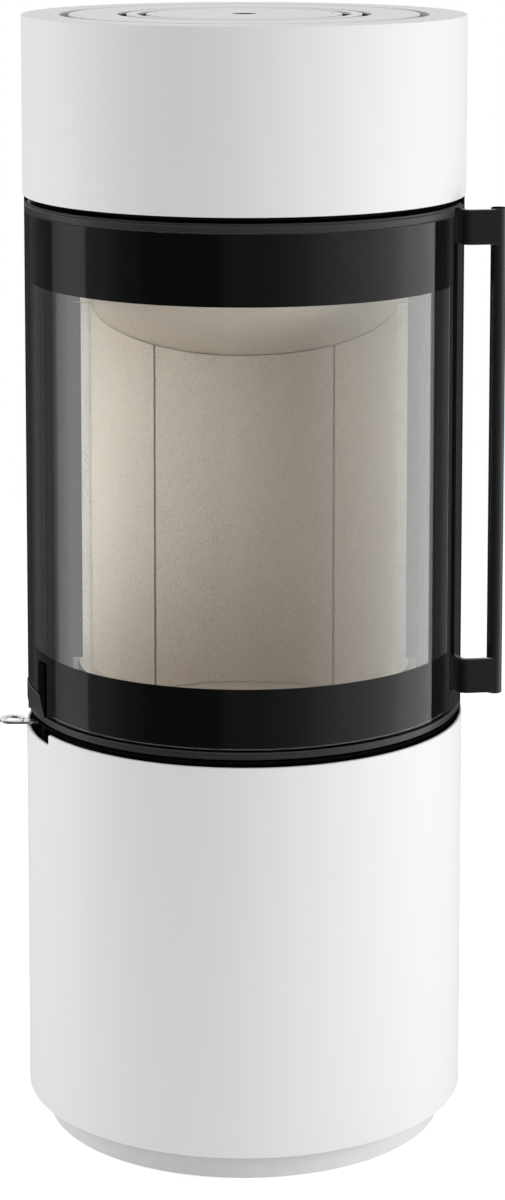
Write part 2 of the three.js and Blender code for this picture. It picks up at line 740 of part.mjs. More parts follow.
function addLining() {
  const beyond = 2 * fireboxRadius;
  const overBaffle = aboveBaffle(-FIT, beyond);
  const seam = THREE.MathUtils.radToDeg(FIT / liningInner / 2);
  const backRight = 180 - BACK_PANEL_HALF_ANGLE;
  const backLeft = 180 + BACK_PANEL_HALF_ANGLE;
  const panel = (from, to) =>
    cut(
      sector(liningInner, liningOuter, liningLow, shelfLow, from + seam, to - seam),
      overBaffle,
    );
  piece('lining_back', panel(backRight, backLeft), VERMICULITE);
  piece('lining_right', panel(90, backRight), VERMICULITE);
  piece('lining_left', panel(backLeft, 270), VERMICULITE);

  const front = block([-beyond, -BAFFLE_AHEAD, 0], [beyond, beyond, stoveTop]);
  const plate = aboveBaffle(0, BAFFLE_THICKNESS);
  const upright = disc(liningOuter - FIT, 0, stoveTop);
  piece('baffle', upright.intersect(plate).intersect(front), VERMICULITE);

  const lipTop = liningLow + LIP_HEIGHT;
  const lip = sector(lipInner, lipOuter, liningLow, lipTop, -LIP_HALF_ANGLE, LIP_HALF_ANGLE);
  piece('hearth_lip', lip, VERMICULITE);

  const stoneOuter = fireboxBore - ARC_FIT;
  const stone = tube(GRATE_RADIUS + FIT, stoneOuter, hearthFloor + FIT, stoneTop, SMALL_STEP);
  piece('floor_stone', stone, VERMICULITE);

  const shelf = disc(fireboxBore - FIT, shelfLow, shelfLow + SHELF_SHEET);
  const smokePath = block([-beyond, SHELF_BEHIND, 0], [beyond, beyond, stoveTop]);
  piece('smoke_shelf', cut(shelf, smokePath), RAW_STEEL);
}

function addAshPan() {
  const flangeLow = hearthFloor + FIT;
  const flangeTop = flangeLow + ASH_PAN_SHEET;
  const panLow = flangeLow - ASH_PAN_DEPTH;
  const bore = ASH_PAN_RADIUS - ASH_PAN_SHEET;
  const profile = [
    [0, panLow],
    [ASH_PAN_RADIUS, panLow, ASH_PAN_CORNER],
    [ASH_PAN_RADIUS, flangeLow],
    [GRATE_RADIUS, flangeLow],
    [GRATE_RADIUS, flangeTop],
    [bore, flangeTop],
    [bore, panLow + ASH_PAN_SHEET, ASH_PAN_CORNER - ASH_PAN_SHEET],
    [0, panLow + ASH_PAN_SHEET],
  ];
  piece('ash_pan', turn(profile, SMALL_STEP), RAW_STEEL);
}

function addGrate() {
  const rimLow = hearthFloor + FIT + ASH_PAN_SHEET + FIT;
  const plateLow = stoneTop - GRATE_THICKNESS;
  const rim = GRATE_RADIUS - GRATE_RIM;
  const profile = [
    [0, plateLow],
    [rim, plateLow],
    [rim, rimLow],
    [GRATE_RADIUS, rimLow],
    [GRATE_RADIUS, stoneTop, GRATE_EDGE],
    [0, stoneTop],
  ];
  const pitch = GRATE_SLOT_WIDTH + GRATE_BAR_WIDTH;
  const slots = Array.from({ length: GRATE_SLOTS }, (_, index) => {
    const middle = (index - (GRATE_SLOTS - 1) / 2) * pitch;
    const length = Math.sqrt((rim - GRATE_RIM) ** 2 - middle ** 2);
    const half = GRATE_SLOT_WIDTH / 2;
    return block([middle - half, -length, rimLow], [middle + half, length, stoneTop + OVER]);
  });
  piece('grate', cut(turn(profile, SMALL_STEP), ...slots), CAST_IRON);
}

// ---- air valve and lever

function addAirValve() {
  const shutter = cut(
    disc(VALVE_RADIUS, valveLow, valveTop, SMALL_STEP),
    bar(PIVOT_RADIUS + FIT, valveLow - OVER, valveTop + OVER),
    ...windows(valveLow, valveTop, WINDOW_BEARING + LEVER_TRAVEL),
  );
  piece('air_shutter', shutter, RAW_STEEL);

  const boltLow = armLow - FIT - PIVOT_HEAD_HEIGHT;
  const nutLow = pitLow + PIT_SHEET + FIT;
  const nutTop = nutLow + PIVOT_HEAD_HEIGHT;
  const bolt = join(
    bar(PIVOT_HEAD_RADIUS, boltLow, armLow - FIT, undefined, HEXAGON),
    bar(PIVOT_RADIUS, boltLow + OVER, nutTop + OVER),
  );
  const nut = cut(
    bar(PIVOT_HEAD_RADIUS, nutLow, nutTop, undefined, HEXAGON),
    bar(PIVOT_RADIUS + FIT, nutLow - OVER, nutTop + OVER),
  );
  piece('shutter_bolt', bolt, RAW_STEEL);
  piece('shutter_nut', nut, RAW_STEEL);
  piece('air_lever', airLever(), STAINLESS);
}

/** The cranked lever: an arm under the shutter, a riser, and a bar that ends in an eye. */
function airLever() {
  const riserIn = -riserRadius;
  const riserOut = riserIn - LEVER_SHEET;
  const half = LEVER_WIDTH / 2;
  const front = -LEVER_AHEAD - half;
  const back = -LEVER_AHEAD + half;
  const arm = new THREE.Vector2(riserIn, -LEVER_AHEAD);
  const side = arm.clone().rotateAround(new THREE.Vector2(), Math.PI / 2).setLength(ARM_WIDTH / 2);
  const armOutline = [
    [side.x, side.y],
    [-side.x, -side.y],
    [riserOut, back],
    [riserOut, front],
  ];
  const eye = new THREE.Vector2(-eyeReach, front + EYE_RADIUS);
  const hubHole = bar(PIVOT_RADIUS + FIT, armLow - OVER, armTop + OVER);
  const eyeHole = bar(EYE_HOLE_RADIUS, leverLow - OVER, leverTop + OVER, eye, EYE_SIDES);
  const body = join(
    bar(ARM_WIDTH, armLow, armTop),
    pull(armOutline.reverse(), armLow, armTop),
    block([riserOut, front, armLow], [riserIn, back, leverTop]),
    block([-eyeReach, front, leverLow], [riserIn, back, leverTop]),
    bar(EYE_RADIUS, leverLow, leverTop, eye, EYE_SIDES),
  );
  return cut(body, hubHole, eyeHole);
}

// ---- smoke dome, flue collar and top

function addDome() {
  const flueBore = FLUE_RADIUS - FLUE_SHEET;
  const inner = DOME_RADIUS - DOME_SHEET;
  const ceiling = domeTop - DOME_SHEET;
  const domeProfile = [
    [inner, domeLow],
    [DOME_RADIUS + DOME_FLANGE, domeLow],
    [DOME_RADIUS + DOME_FLANGE, domeLow + DOME_SHEET],
    [DOME_RADIUS, domeLow + DOME_SHEET],
    [DOME_RADIUS, domeTop, DOME_CORNER],
    [flueBore, domeTop],
    [flueBore, ceiling],
    [inner, ceiling],
  ];
  const bore = levelBar(flueBore, DOME_RADIUS / 2, flueEnd + OVER, flueHeight);
  piece('smoke_dome', cut(turn(domeProfile, SMALL_STEP), bore), BLACK_PAINT);

  const pipe = cut(
    levelBar(FLUE_RADIUS, DOME_RADIUS / 2, flueEnd, flueHeight),
    levelBar(flueBore, 0, flueEnd + OVER, flueHeight),
    disc(DOME_RADIUS + FIT, domeLow, domeTop, SMALL_STEP),
  );
  piece('flue_collar', pipe, BLACK_PAINT);

  const flangeLow = domeTop + FIT;
  const flangeTop = flangeLow + PLUG_SHEET;
  const plugProfile = [
    [0, domeTop - PLUG_DEPTH],
    [flueBore - FIT, domeTop - PLUG_DEPTH],
    [flueBore - FIT, flangeLow],
    [flueBore + PLUG_FLANGE, flangeLow],
    [flueBore + PLUG_FLANGE, flangeTop],
    [0, flangeTop],
  ];
  piece('top_outlet_plug', turn(plugProfile, SMALL_STEP), BLACK_PAINT);
}

function addTop() {
  const lipOuter = rimInner + TOP_LIP_SHEET;
  const casing = turn([
    [casingBore, topCasingLow],
    [CASING_RADIUS, topCasingLow, CASING_EDGE],
    [CASING_RADIUS, stoveTop, CASING_EDGE],
    [rimInner, stoveTop, CASING_EDGE],
    [rimInner, stoveTop - TOP_RIM_LIP],
    [lipOuter, stoveTop - TOP_RIM_LIP],
    [lipOuter, topPlateLow],
    [casingBore, topPlateLow],
  ]);
  const flueHole = levelBar(FLUE_RADIUS + FLUE_MARGIN, 0, CASING_RADIUS + OVER, flueHeight);
  piece('top_casing', cut(casing, flueHole), WHITE_PAINT);

  const spiderTop = topPlateLow - FIT;
  const spiderLow = spiderTop - SPIDER_DEPTH;
  const hubOuter = lidRadius - SPIDER_HUB_INSET;
  const hubInner = hubOuter - SPIDER_HUB_WIDTH;
  const half = SPIDER_SHEET / 2;
  const arm = block([hubInner + OVER, -half, spiderLow], [casingBore - FIT, half, spiderTop]);
  const arms = SPIDER_ARMS.map((angle) => arm.rotate([0, 0, angle]));
  const hub = tube(hubInner, hubOuter, spiderLow, spiderTop, SMALL_STEP);
  const lipNotch = tube(
    rimInner - 2 * FIT,
    lipOuter + 2 * FIT,
    spiderTop - TOP_RIM_LIP,
    spiderTop + OVER,
  );
  piece('top_spider', cut(join(hub, ...arms), lipNotch), BLACK_PAINT);

  piece('top_cover_ring', tube(coverInner, coverOuter, topPlateLow, stoveTop), WHITE_PAINT);
  piece('top_middle_ring', tube(middleInner, middleOuter, topPlateLow, stoveTop), WHITE_PAINT);
  const fingerHole = bar(
    FINGER_HOLE_RADIUS,
    topPlateLow - OVER,
    stoveTop + OVER,
    undefined,
    FINGER_HOLE_SIDES,
  );
  piece('lid', cut(disc(lidRadius, topPlateLow, stoveTop), fingerHole), WHITE_PAINT);
}

// ---- door

function addDoor() {
  const glass = sector(glassInner, glassOuter, glassLow, glassHigh, GLASS_LEFT, GLASS_RIGHT);
  piece('door_glass', glass, CLEAR_GLASS);

  const pin = at(hingeRadius, HINGE_BEARING);
  const legOuter = doorInner + DOOR_SHEET;
  const legLeft = HINGE_STILE_RIGHT + SIDE_MARGIN;
  const legRight = HANDLE_STILE_LEFT - SIDE_MARGIN;
  const rail = (low, high, legLow, legHigh) => {
    const pinHole = bar(HINGE_PIN_RADIUS + FIT, low - OVER, high + OVER, pin);
    return cut(
      join(
        sector(doorInner, railRadius, low, high, DOOR_LEFT, DOOR_RIGHT),
        sector(doorInner, legOuter, legLow, legHigh, legLeft, legRight),
        bar(HINGE_LUG_RADIUS, low, high, pin),
      ),
      pinHole,
    );
  };
  const topRail = rail(topRailLow, doorHigh, topRailLow - RAIL_LEG, topRailLow + OVER);
  const bottomRail = rail(doorLow, bottomRailTop, bottomRailTop - OVER, bottomRailTop + RAIL_LEG);
  piece('door_top_rail', topRail, DARK_RAIL);
  piece('door_bottom_rail', bottomRail, DARK_RAIL);

  const sealOuter = glassInner - ARC_FIT;
  const seal = (low) =>
    sector(legOuter + FIT, sealOuter, low, low + SEAL_HEIGHT, legLeft, legRight);
  piece('glass_seal_top', seal(glassHigh - SEAL_INSET - SEAL_HEIGHT), FIBRE_ROPE);
  piece('glass_seal_bottom', seal(glassLow + SEAL_INSET), FIBRE_ROPE);
}

function addStiles() {
  const stileLow = bottomRailTop + FIT;
  const stileHigh = topRailLow - FIT;
  const stile = (from, to, low = stileLow, high = stileHigh, outer = stileOuter) =>
    sector(doorInner, outer, low, high, from, to);
  piece('hinge_stile', stile(DOOR_LEFT, HINGE_STILE_RIGHT), BLACK_PAINT);
  const footHigh = stileLow + GROOVE_FLOOR_HEIGHT;
  const handleStile = join(
    stile(HANDLE_STILE_LEFT, DOOR_RIGHT),
    stile(GROOVE_RIGHT, DOOR_RIGHT, stileLow, stileHigh, railRadius - STRIP_SETBACK),
    stile(GLASS_RIGHT + SIDE_MARGIN, DOOR_RIGHT, stileLow, footHigh, glassOuter),
  );
  piece('handle_stile', handleStile, BLACK_PAINT);
}

function addGasketAndCatch() {
  const outer = doorInner - ARC_FIT;
  const low = openingLow + FRAME_LIP / 2;
  const high = openingHigh - FRAME_LIP / 2;
  const half = THREE.MathUtils.radToDeg(GASKET_WIDTH / frameRadius) / 2;
  const left = GASKET_BEARING;
  const right = (POST_RIGHT + POST_RIGHT_END) / 2;
  const run = (z0, z1, from, to) => sector(gasketInner, outer, z0, z1, from, to);
  const loop = join(
    run(low, low + GASKET_WIDTH, left - half, right + half),
    run(high - GASKET_WIDTH, high, left - half, right + half),
    run(low, high, left - half, left + half),
    run(low, high, right - half, right + half),
  );
  piece('door_gasket', loop, FIBRE_ROPE);

  const studLow = doorMiddle - CATCH_HEIGHT / 2;
  const stud = sector(
    frameRadius + 3 * FIT,
    outer,
    studLow,
    studLow + CATCH_HEIGHT,
    DOOR_RIGHT - CATCH_ANGLE,
    DOOR_RIGHT,
  );
  piece('catch_stud', stud, STAINLESS);
}

function addHinges() {
  const place = at(hingeRadius, HINGE_BEARING);
  const pin = (low, high) => bar(HINGE_PIN_RADIUS, low, high, place);
  piece('hinge_pin_top', pin(topRailLow + FIT, crownTop), STAINLESS);
  piece('hinge_pin_bottom', pin(hearthLow, bottomRailTop - FIT), STAINLESS);
  const washerLow = hearthTop + FIT;
  const washer = cut(
    bar(HINGE_LUG_RADIUS, washerLow, washerLow + HINGE_WASHER, place),
    bar(HINGE_PIN_RADIUS + FIT, washerLow - OVER, washerLow + HINGE_WASHER + OVER, place),
  );
  piece('hinge_washer', washer, STAINLESS);
}

// ---- handle and corner cover

function addHandle() {
  const barLow = bottomRailTop + FIT + GROOVE_FLOOR_HEIGHT + HANDLE_RISE;
  const barHigh = doorHigh + HANDLE_OVER_DOOR;
  const root = at(glassInner, BRACKET_ROOT_BEARING);
  const place = new THREE.Vector2(root.x + HANDLE_ASIDE, root.y - HANDLE_AHEAD);
  const profile = [
    [0, barLow],
    [HANDLE_RADIUS, barLow, HANDLE_BEVEL],
    [HANDLE_RADIUS, barHigh, HANDLE_BEVEL],
    [0, barHigh],
  ];
  const round = turn(profile, 360 / HANDLE_SIDES);
  piece('handle_bar', round.translate([place.x, place.y, 0]), BLACK_PAINT);

  const lowBracket = barLow + HANDLE_OVERHANG;
  const highBracket = barHigh - HANDLE_OVERHANG - BRACKET_HEIGHT;
  piece('handle_bracket_bottom', bracket(place, lowBracket), BLACK_PAINT);
  const underRail = disc(railRadius + ARC_FIT, topRailLow - FIT, doorHigh + CROWN_GAP);
  piece('handle_bracket_top', cut(bracket(place, highBracket), underRail), BLACK_PAINT);
}

/** A bracket bent from flat bar: out of the groove to the front, then across to the bar. */
function bracket(place, low) {
  const root = at(stileOuter + ARC_FIT, BRACKET_ROOT_BEARING);
  const bend = root.clone().add(at(BRACKET_LEG, BRACKET_LEG_BEARING));
  const end = new THREE.Vector2(place.x, place.y - BRACKET_AHEAD);
  const across = end.clone().sub(bend).normalize();
  const half = BRACKET_SHEET / 2;
  const leg = bend.clone().sub(root).normalize();
  const legSide = new THREE.Vector2(leg.y, -leg.x).multiplyScalar(half);
  const armSide = new THREE.Vector2(across.y, -across.x).multiplyScalar(half);
  const mitre = legSide.clone().add(armSide).setLength(half / Math.cos(legSide.angleTo(armSide) / 2));
  const inner = bend.clone().sub(mitre);
  const outer = bend.clone().add(mitre);
  const outline = [
    [root.x + legSide.x, root.y + legSide.y],
    [outer.x, outer.y, BRACKET_BEND + BRACKET_SHEET],
    [end.x + armSide.x, end.y + armSide.y],
    [end.x - armSide.x, end.y - armSide.y],
    [inner.x, inner.y, BRACKET_BEND],
    [root.x - legSide.x, root.y - legSide.y],
  ];
  const options = {
    depth: BRACKET_HEIGHT - 2 * BRACKET_EDGE,
    bevelThickness: BRACKET_EDGE,
    bevelSize: BRACKET_EDGE,
    bevelOffset: -BRACKET_EDGE,
    bevelSegments: 1,
  };
  const plan = new THREE.Shape(rounded(outline));
  const flat = solid(new THREE.ExtrudeGeometry(plan, options).translate(0, 0, low + BRACKET_EDGE));
  const high = low + BRACKET_HEIGHT;
  return cut(
    flat,
    bar(HANDLE_RADIUS + FIT, low - OVER, high + OVER, place, HANDLE_SIDES),
    disc(stileOuter + ARC_FIT, low - OVER, high + OVER),
  );
}

function addCornerCover() {
  const inner = glassOuter + ARC_FIT;
  const outer = inner + COVER_SHEET;
  const low = bottomRailTop + FIT;
  const cover = join(
    sector(inner, outer, low, low + COVER_HEIGHT, DOOR_LEFT, COVER_RIGHT),
    sector(inner, outer, low, low + COVER_HEIGHT + TONGUE_HEIGHT, TONGUE_LEFT, TONGUE_RIGHT),
  );
  piece('corner_cover', cover, DARK_RAIL);
}

addBase();
addBaseCasing();
addPedestal();
addFirebox();
addAshPit();
addFrontFrame();
addRingsAndShell();
addLining();
addAshPan();
addGrate();
addAirValve();
addDome();
addTop();
addDoor();
addStiles();
addGasketAndCatch();
addHinges();
addHandle();
addCornerCover();

export default group;
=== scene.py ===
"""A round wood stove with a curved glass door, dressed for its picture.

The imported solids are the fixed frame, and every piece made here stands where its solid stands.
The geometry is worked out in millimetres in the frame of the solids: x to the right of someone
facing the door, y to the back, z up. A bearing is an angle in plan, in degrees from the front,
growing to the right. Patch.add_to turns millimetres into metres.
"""

import json
import logging
import math
from dataclasses import dataclass, field
from enum import Enum
from typing import Callable, Optional, Sequence, Union

import bmesh
import bpy
import numpy as np
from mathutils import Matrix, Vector

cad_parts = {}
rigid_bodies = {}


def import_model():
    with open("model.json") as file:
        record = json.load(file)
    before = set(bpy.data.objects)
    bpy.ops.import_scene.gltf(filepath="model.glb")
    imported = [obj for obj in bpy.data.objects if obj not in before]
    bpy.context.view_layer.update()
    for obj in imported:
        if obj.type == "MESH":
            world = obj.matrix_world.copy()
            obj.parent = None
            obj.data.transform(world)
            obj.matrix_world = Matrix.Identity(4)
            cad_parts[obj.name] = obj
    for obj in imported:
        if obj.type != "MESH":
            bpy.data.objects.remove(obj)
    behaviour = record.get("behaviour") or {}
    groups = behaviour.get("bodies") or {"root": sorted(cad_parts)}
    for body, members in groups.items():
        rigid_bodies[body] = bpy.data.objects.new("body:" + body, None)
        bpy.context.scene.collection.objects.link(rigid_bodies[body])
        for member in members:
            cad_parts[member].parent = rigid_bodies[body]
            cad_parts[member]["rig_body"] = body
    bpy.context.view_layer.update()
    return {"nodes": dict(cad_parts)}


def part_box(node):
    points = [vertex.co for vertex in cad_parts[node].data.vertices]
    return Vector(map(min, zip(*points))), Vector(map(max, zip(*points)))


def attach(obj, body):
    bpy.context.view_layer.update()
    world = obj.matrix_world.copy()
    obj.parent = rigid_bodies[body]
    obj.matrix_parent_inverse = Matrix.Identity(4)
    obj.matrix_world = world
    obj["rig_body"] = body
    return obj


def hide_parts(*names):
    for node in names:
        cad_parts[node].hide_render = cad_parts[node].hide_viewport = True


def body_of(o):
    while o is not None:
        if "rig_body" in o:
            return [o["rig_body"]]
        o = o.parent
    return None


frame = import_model()

LOG = logging.getLogger("stove")
MM = 0.001
Array = np.ndarray
Colour = tuple[float, float, float]
Corner = tuple[float, ...]
Level = Union[float, Callable[[Array, Array], Array]]


# ---------------------------------------------------------------- sizes read from the solids


def levels(node: str) -> tuple[float, float]:
    """Lowest and highest level of a solid, in millimetres.

    Args:
        node: name of the solid.

    Returns:
        The two levels.
    """
    low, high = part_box(node)
    return low.z / MM, high.z / MM


def depths(node: str) -> tuple[float, float]:
    """Foremost and rearmost place of a solid, in millimetres.

    Args:
        node: name of the solid.

    Returns:
        The two places along y.
    """
    low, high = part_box(node)
    return low.y / MM, high.y / MM


# ---------------------------------------------------------------- surfaces


def around(radius: Array, bearing: Array, height: Array) -> Array:
    """Points on cylinders about the stove's axis.

    x is the radius times the sine of the bearing, y is minus the radius times its cosine, and z is
    the height.

    Args:
        radius: distances from the axis.
        bearing: bearings in degrees.
        height: levels.

    Returns:
        An array of points, broadcast from the three.
    """
    angle = np.radians(bearing)
    return np.stack(
        np.broadcast_arrays(radius * np.sin(angle), -radius * np.cos(angle), height), axis=-1
    )


def rounded(corners: Sequence[Corner], steps: int = 5) -> Array:
    """An outline whose corners are rounded, each to its own radius.

    A corner of radius r becomes the arc of that radius that touches both sides. Its centre lies on
    the corner's bisector, r over the sine of half the angle away, and the arc's points are the
    great-circle blend of the two directions from the centre to where it touches.

    Args:
        corners: (x, y) or (x, y, radius), in order.
        steps: parts that each arc is divided into.

    Returns:
        The points in order, without repeats.
    """
    points = np.array([corner[:2] for corner in corners], float)
    reach = np.array([corner[2] if len(corner) > 2 else 0.0 for corner in corners])[:, None]
    back = np.roll(points, 1, 0) - points
    ahead = np.roll(points, -1, 0) - points
    back /= np.linalg.norm(back, axis=1, keepdims=True)
    ahead /= np.linalg.norm(ahead, axis=1, keepdims=True)
    half = np.arccos(np.clip((back * ahead).sum(1, keepdims=True), -1, 1)) / 2
    middle = back + ahead
    size = np.linalg.norm(middle, axis=1, keepdims=True)
    middle = np.where(size > 1e-9, middle / np.maximum(size, 1e-9), 0)
    centre = points + middle * reach / np.maximum(np.sin(half), 1e-9)
    touch = reach / np.maximum(np.tan(half), 1e-9)
    start, end = points + back * touch - centre, points + ahead * touch - centre
    sweep = np.maximum(math.pi - 2 * half, 1e-9)[:, None]
    share = np.linspace(0, 1, steps + 1)[None, :, None]
    arcs = np.sin((1 - share) * sweep) * start[:, None] + np.sin(share * sweep) * end[:, None]
    outline = (centre[:, None] + arcs / np.sin(sweep)).reshape(-1, 2)
    apart = np.linalg.norm(outline - np.roll(outline, 1, 0), axis=1) > 1e-5
    return outline[apart]


@dataclass
class Patch:
    """A grid of points in millimetres, rows by columns, whose neighbours are joined by quads.

    Attributes:
        points: the grid, rows by columns by 3.
        wrap_rows: the last row joins the first.
        wrap_columns: the last column joins the first.
        capped: a face closes the first row and another the last.
    """

    points: Array
    wrap_rows: bool = False
    wrap_columns: bool = True
    capped: bool = False

    def faces(self) -> list[list[int]]:
        """The faces as lists of point numbers.

        Returns:
            The quads, and the two caps if there are any.
        """
        rows, columns = self.points.shape[:2]
        index = np.arange(rows * columns).reshape(rows, columns)
        ends = [index[0].tolist(), index[-1][::-1].tolist()] if self.capped else []
        if self.wrap_rows:
            index = np.vstack([index, index[:1]])
        if self.wrap_columns:
            index = np.hstack([index, index[:, :1]])
        quads = np.stack(
            [index[:-1, :-1], index[1:, :-1], index[1:, 1:], index[:-1, 1:]], axis=-1
        )
        return quads.reshape(-1, 4).tolist() + ends

    def add_to(self, form: bmesh.types.BMesh) -> None:
        """Adds the patch to a mesh in metres, its doubles merged and its faces outward.

        Args:
            form: the mesh that grows.
        """
        flat = bpy.data.meshes.new("patch")
        flat.from_pydata((self.points.reshape(-1, 3) * MM).tolist(), [], self.faces())
        own = bmesh.new()
        own.from_mesh(flat)
        bmesh.ops.remove_doubles(own, verts=own.verts, dist=1e-6)
        bmesh.ops.dissolve_degenerate(own, dist=1e-7, edges=own.edges)
        bmesh.ops.recalc_face_normals(own, faces=own.faces)
        own.to_mesh(flat)
        own.free()
        form.from_mesh(flat)
        bpy.data.meshes.remove(flat)


def turned(profile: Array, facets: int = 216, closed: bool = True) -> Patch:
    """A profile turned about the stove's axis.

    Args:
        profile: radii and levels, row by row.
        facets: parts that the turn is divided into.
        closed: the profile's end joins its start. If not, it starts and ends on the axis.

    Returns:
        The surface.
    """
    bearing = np.linspace(-180, 180, facets, endpoint=False)
    points = around(profile[None, :, 0], bearing[:, None], profile[None, :, 1])
    return Patch(points, wrap_rows=True, wrap_columns=closed)


def turned_level(profile: Array, height: float, facets: int = 96) -> Patch:
    """A closed profile turned about a level axis that runs from front to back.

    x is the radius times the sine of the turn, z is the axis's height plus the radius times its
    cosine, and y is the profile's second number.

    Args:
        profile: radii and places along y, row by row.
        height: level of the axis.
        facets: parts that the turn is divided into.

    Returns:
        The surface.
    """
    turn = np.linspace(0, 2 * math.pi, facets, endpoint=False)[:, None]
    radius = profile[None, :, 0]
    points = np.broadcast_arrays(
        radius * np.sin(turn), profile[None, :, 1], height + radius * np.cos(turn)
    )
    return Patch(np.stack(points, axis=-1), wrap_rows=True)


def arc(
    inner: float,
    outer: float,
    low: Level,
    high: Level,
    left: float,
    right: float,
    edge: float = 0.6,
    step: float = 1.5,
) -> Patch:
    """A bar of rectangular section bent round the stove's axis, with all its edges rounded.

    Every section is a smaller core grown by a distance rho with quarter circles at its corners.
    Along the bar rho equals the edge's radius, and at each end it shrinks to nothing as the edge
    times the sine of a quarter turn, while the bearing runs out as one minus the cosine.

    Args:
        inner: radius of the inner face.
        outer: radius of the outer face.
        low: level of the underside, or a function of bearing and radius.
        high: level of the top, or a function of bearing and radius.
        left: bearing of the left end.
        right: bearing of the right end.
        edge: radius of the edges.
        step: degrees between sections.

    Returns:
        The surface.
    """
    swing = np.linspace(0, math.pi / 2, 4)
    run = math.degrees(edge / outer) * (1 - np.cos(swing))
    count = max(2, math.ceil((right - left - 2 * run[-1]) / step) + 1)
    middle = np.linspace(left + run[-1], right - run[-1], count)[1:-1]
    bearing = np.concatenate([left + run, middle, (right - run)[::-1]])[:, None]
    grown = edge * np.sin(swing)
    rho = np.concatenate([grown, np.full(len(middle), edge), grown[::-1]])[:, None]
    quarter = np.linspace(0, math.pi / 2, 5)
    turn = np.concatenate([quarter + index * math.pi / 2 for index in range(4)])[None]
    core = np.repeat([outer - edge, inner + edge, inner + edge, outer - edge], 5)[None]
    top = np.repeat([True, True, False, False], 5)[None]

    def level(given: Level) -> Array:
        """The level over the whole grid."""
        flat = np.zeros_like(bearing * core)
        return flat + (given(bearing, core) if callable(given) else given)

    height = np.where(top, level(high) - edge, level(low) + edge)
    return Patch(
        around(core + rho * np.cos(turn), bearing, height + rho * np.sin(turn)), capped=True
    )


def slab(outline: Array, low: float, high: float, edge: float = 0.4) -> Patch:
    """A plate of any outline in plan, with rounded edges above and below.

    Each row is the outline moved inward along its normals by edge times one minus the sine of a
    quarter turn, at a level that leaves the face by edge times one minus its cosine.

    Args:
        outline: points in plan, anticlockwise seen from above.
        low: level of the underside.
        high: level of the top.
        edge: radius of the edges.

    Returns:
        The surface.
    """
    along = np.roll(outline, -1, 0) - np.roll(outline, 1, 0)
    inward = np.stack([-along[:, 1], along[:, 0]], axis=1)
    inward /= np.maximum(np.linalg.norm(inward, axis=1, keepdims=True), 1e-9)
    swing = np.linspace(0, math.pi / 2, 4)
    inset = edge * (1 - np.sin(swing))
    rise = edge * (1 - np.cos(swing))
    inset = np.concatenate([inset, inset[::-1]])[:, None, None]
    height = np.concatenate([low + rise, (high - rise)[::-1]])[:, None, None]
    plan = outline[None] + inward[None] * inset
    return Patch(
        np.concatenate([plan, np.broadcast_to(height, plan.shape[:2] + (1,))], axis=2),
        capped=True,
    )


def circle(radius: float, centre: tuple[float, float] = (0.0, 0.0), sides: int = 48) -> Array:
    """Points of a circle in plan, anticlockwise.

    Args:
        radius: its radius.
        centre: its centre.
        sides: how many points.

    Returns:
        The points.
    """
    turn = np.linspace(0, 2 * math.pi, sides, endpoint=False)
    return np.stack([centre[0] + radius * np.cos(turn), centre[1] + radius * np.sin(turn)], axis=1)


def on_bearing(radius: float, bearing: float) -> Array:
    """The point in plan at a radius and a bearing."""
    angle = math.radians(bearing)
    return np.array([radius * math.sin(angle), -radius * math.cos(angle)])


# ---------------------------------------------------------------- shader maths


class Signal:
    """A number that changes over a surface, written in Python as a number."""

    def __init__(self, graph: "Graph", socket: bpy.types.NodeSocket) -> None:
        """Wraps a socket.

        Args:
            graph: the material's nodes.
            socket: the socket that gives the number.
        """
        self.graph = graph
        self.socket = socket

    def _maths(self, operation: str, first: object, second: object = 0.0) -> "Signal":
        """Adds a Math node.

        Args:
            operation: the node's operation.
            first: its first value.
            second: its second value.

        Returns:
            The node's result.
        """
        node = self.graph.node(
            "ShaderNodeMath", {"operation": operation}, {0: first, 1: second}
        )
        return Signal(self.graph, node.outputs[0])

    def __add__(self, other: object) -> "Signal":
        """Sum."""
        return self._maths("ADD", self, other)

    __radd__ = __add__

    def __mul__(self, other: object) -> "Signal":
        """Product."""
        return self._maths("MULTIPLY", self, other)

    __rmul__ = __mul__

    def __sub__(self, other: object) -> "Signal":
        """Difference."""
        return self._maths("SUBTRACT", self, other)

    def __rsub__(self, other: object) -> "Signal":
        """Difference with this one taken away."""
        return self._maths("SUBTRACT", other, self)

    def __truediv__(self, other: object) -> "Signal":
        """Quotient."""
        return self._maths("DIVIDE", self, other)

    def __pow__(self, other: object) -> "Signal":
        """Power."""
        return self._maths("POWER", self, other)

    def larger(self, other: object) -> "Signal":
        """The larger of two."""
        return self._maths("MAXIMUM", self, other)

    def bearing_to(self, other: object) -> "Signal":
        """The angle in radians whose sine goes with this one and whose cosine with the other."""
        return self._maths("ARCTAN2", self, other)


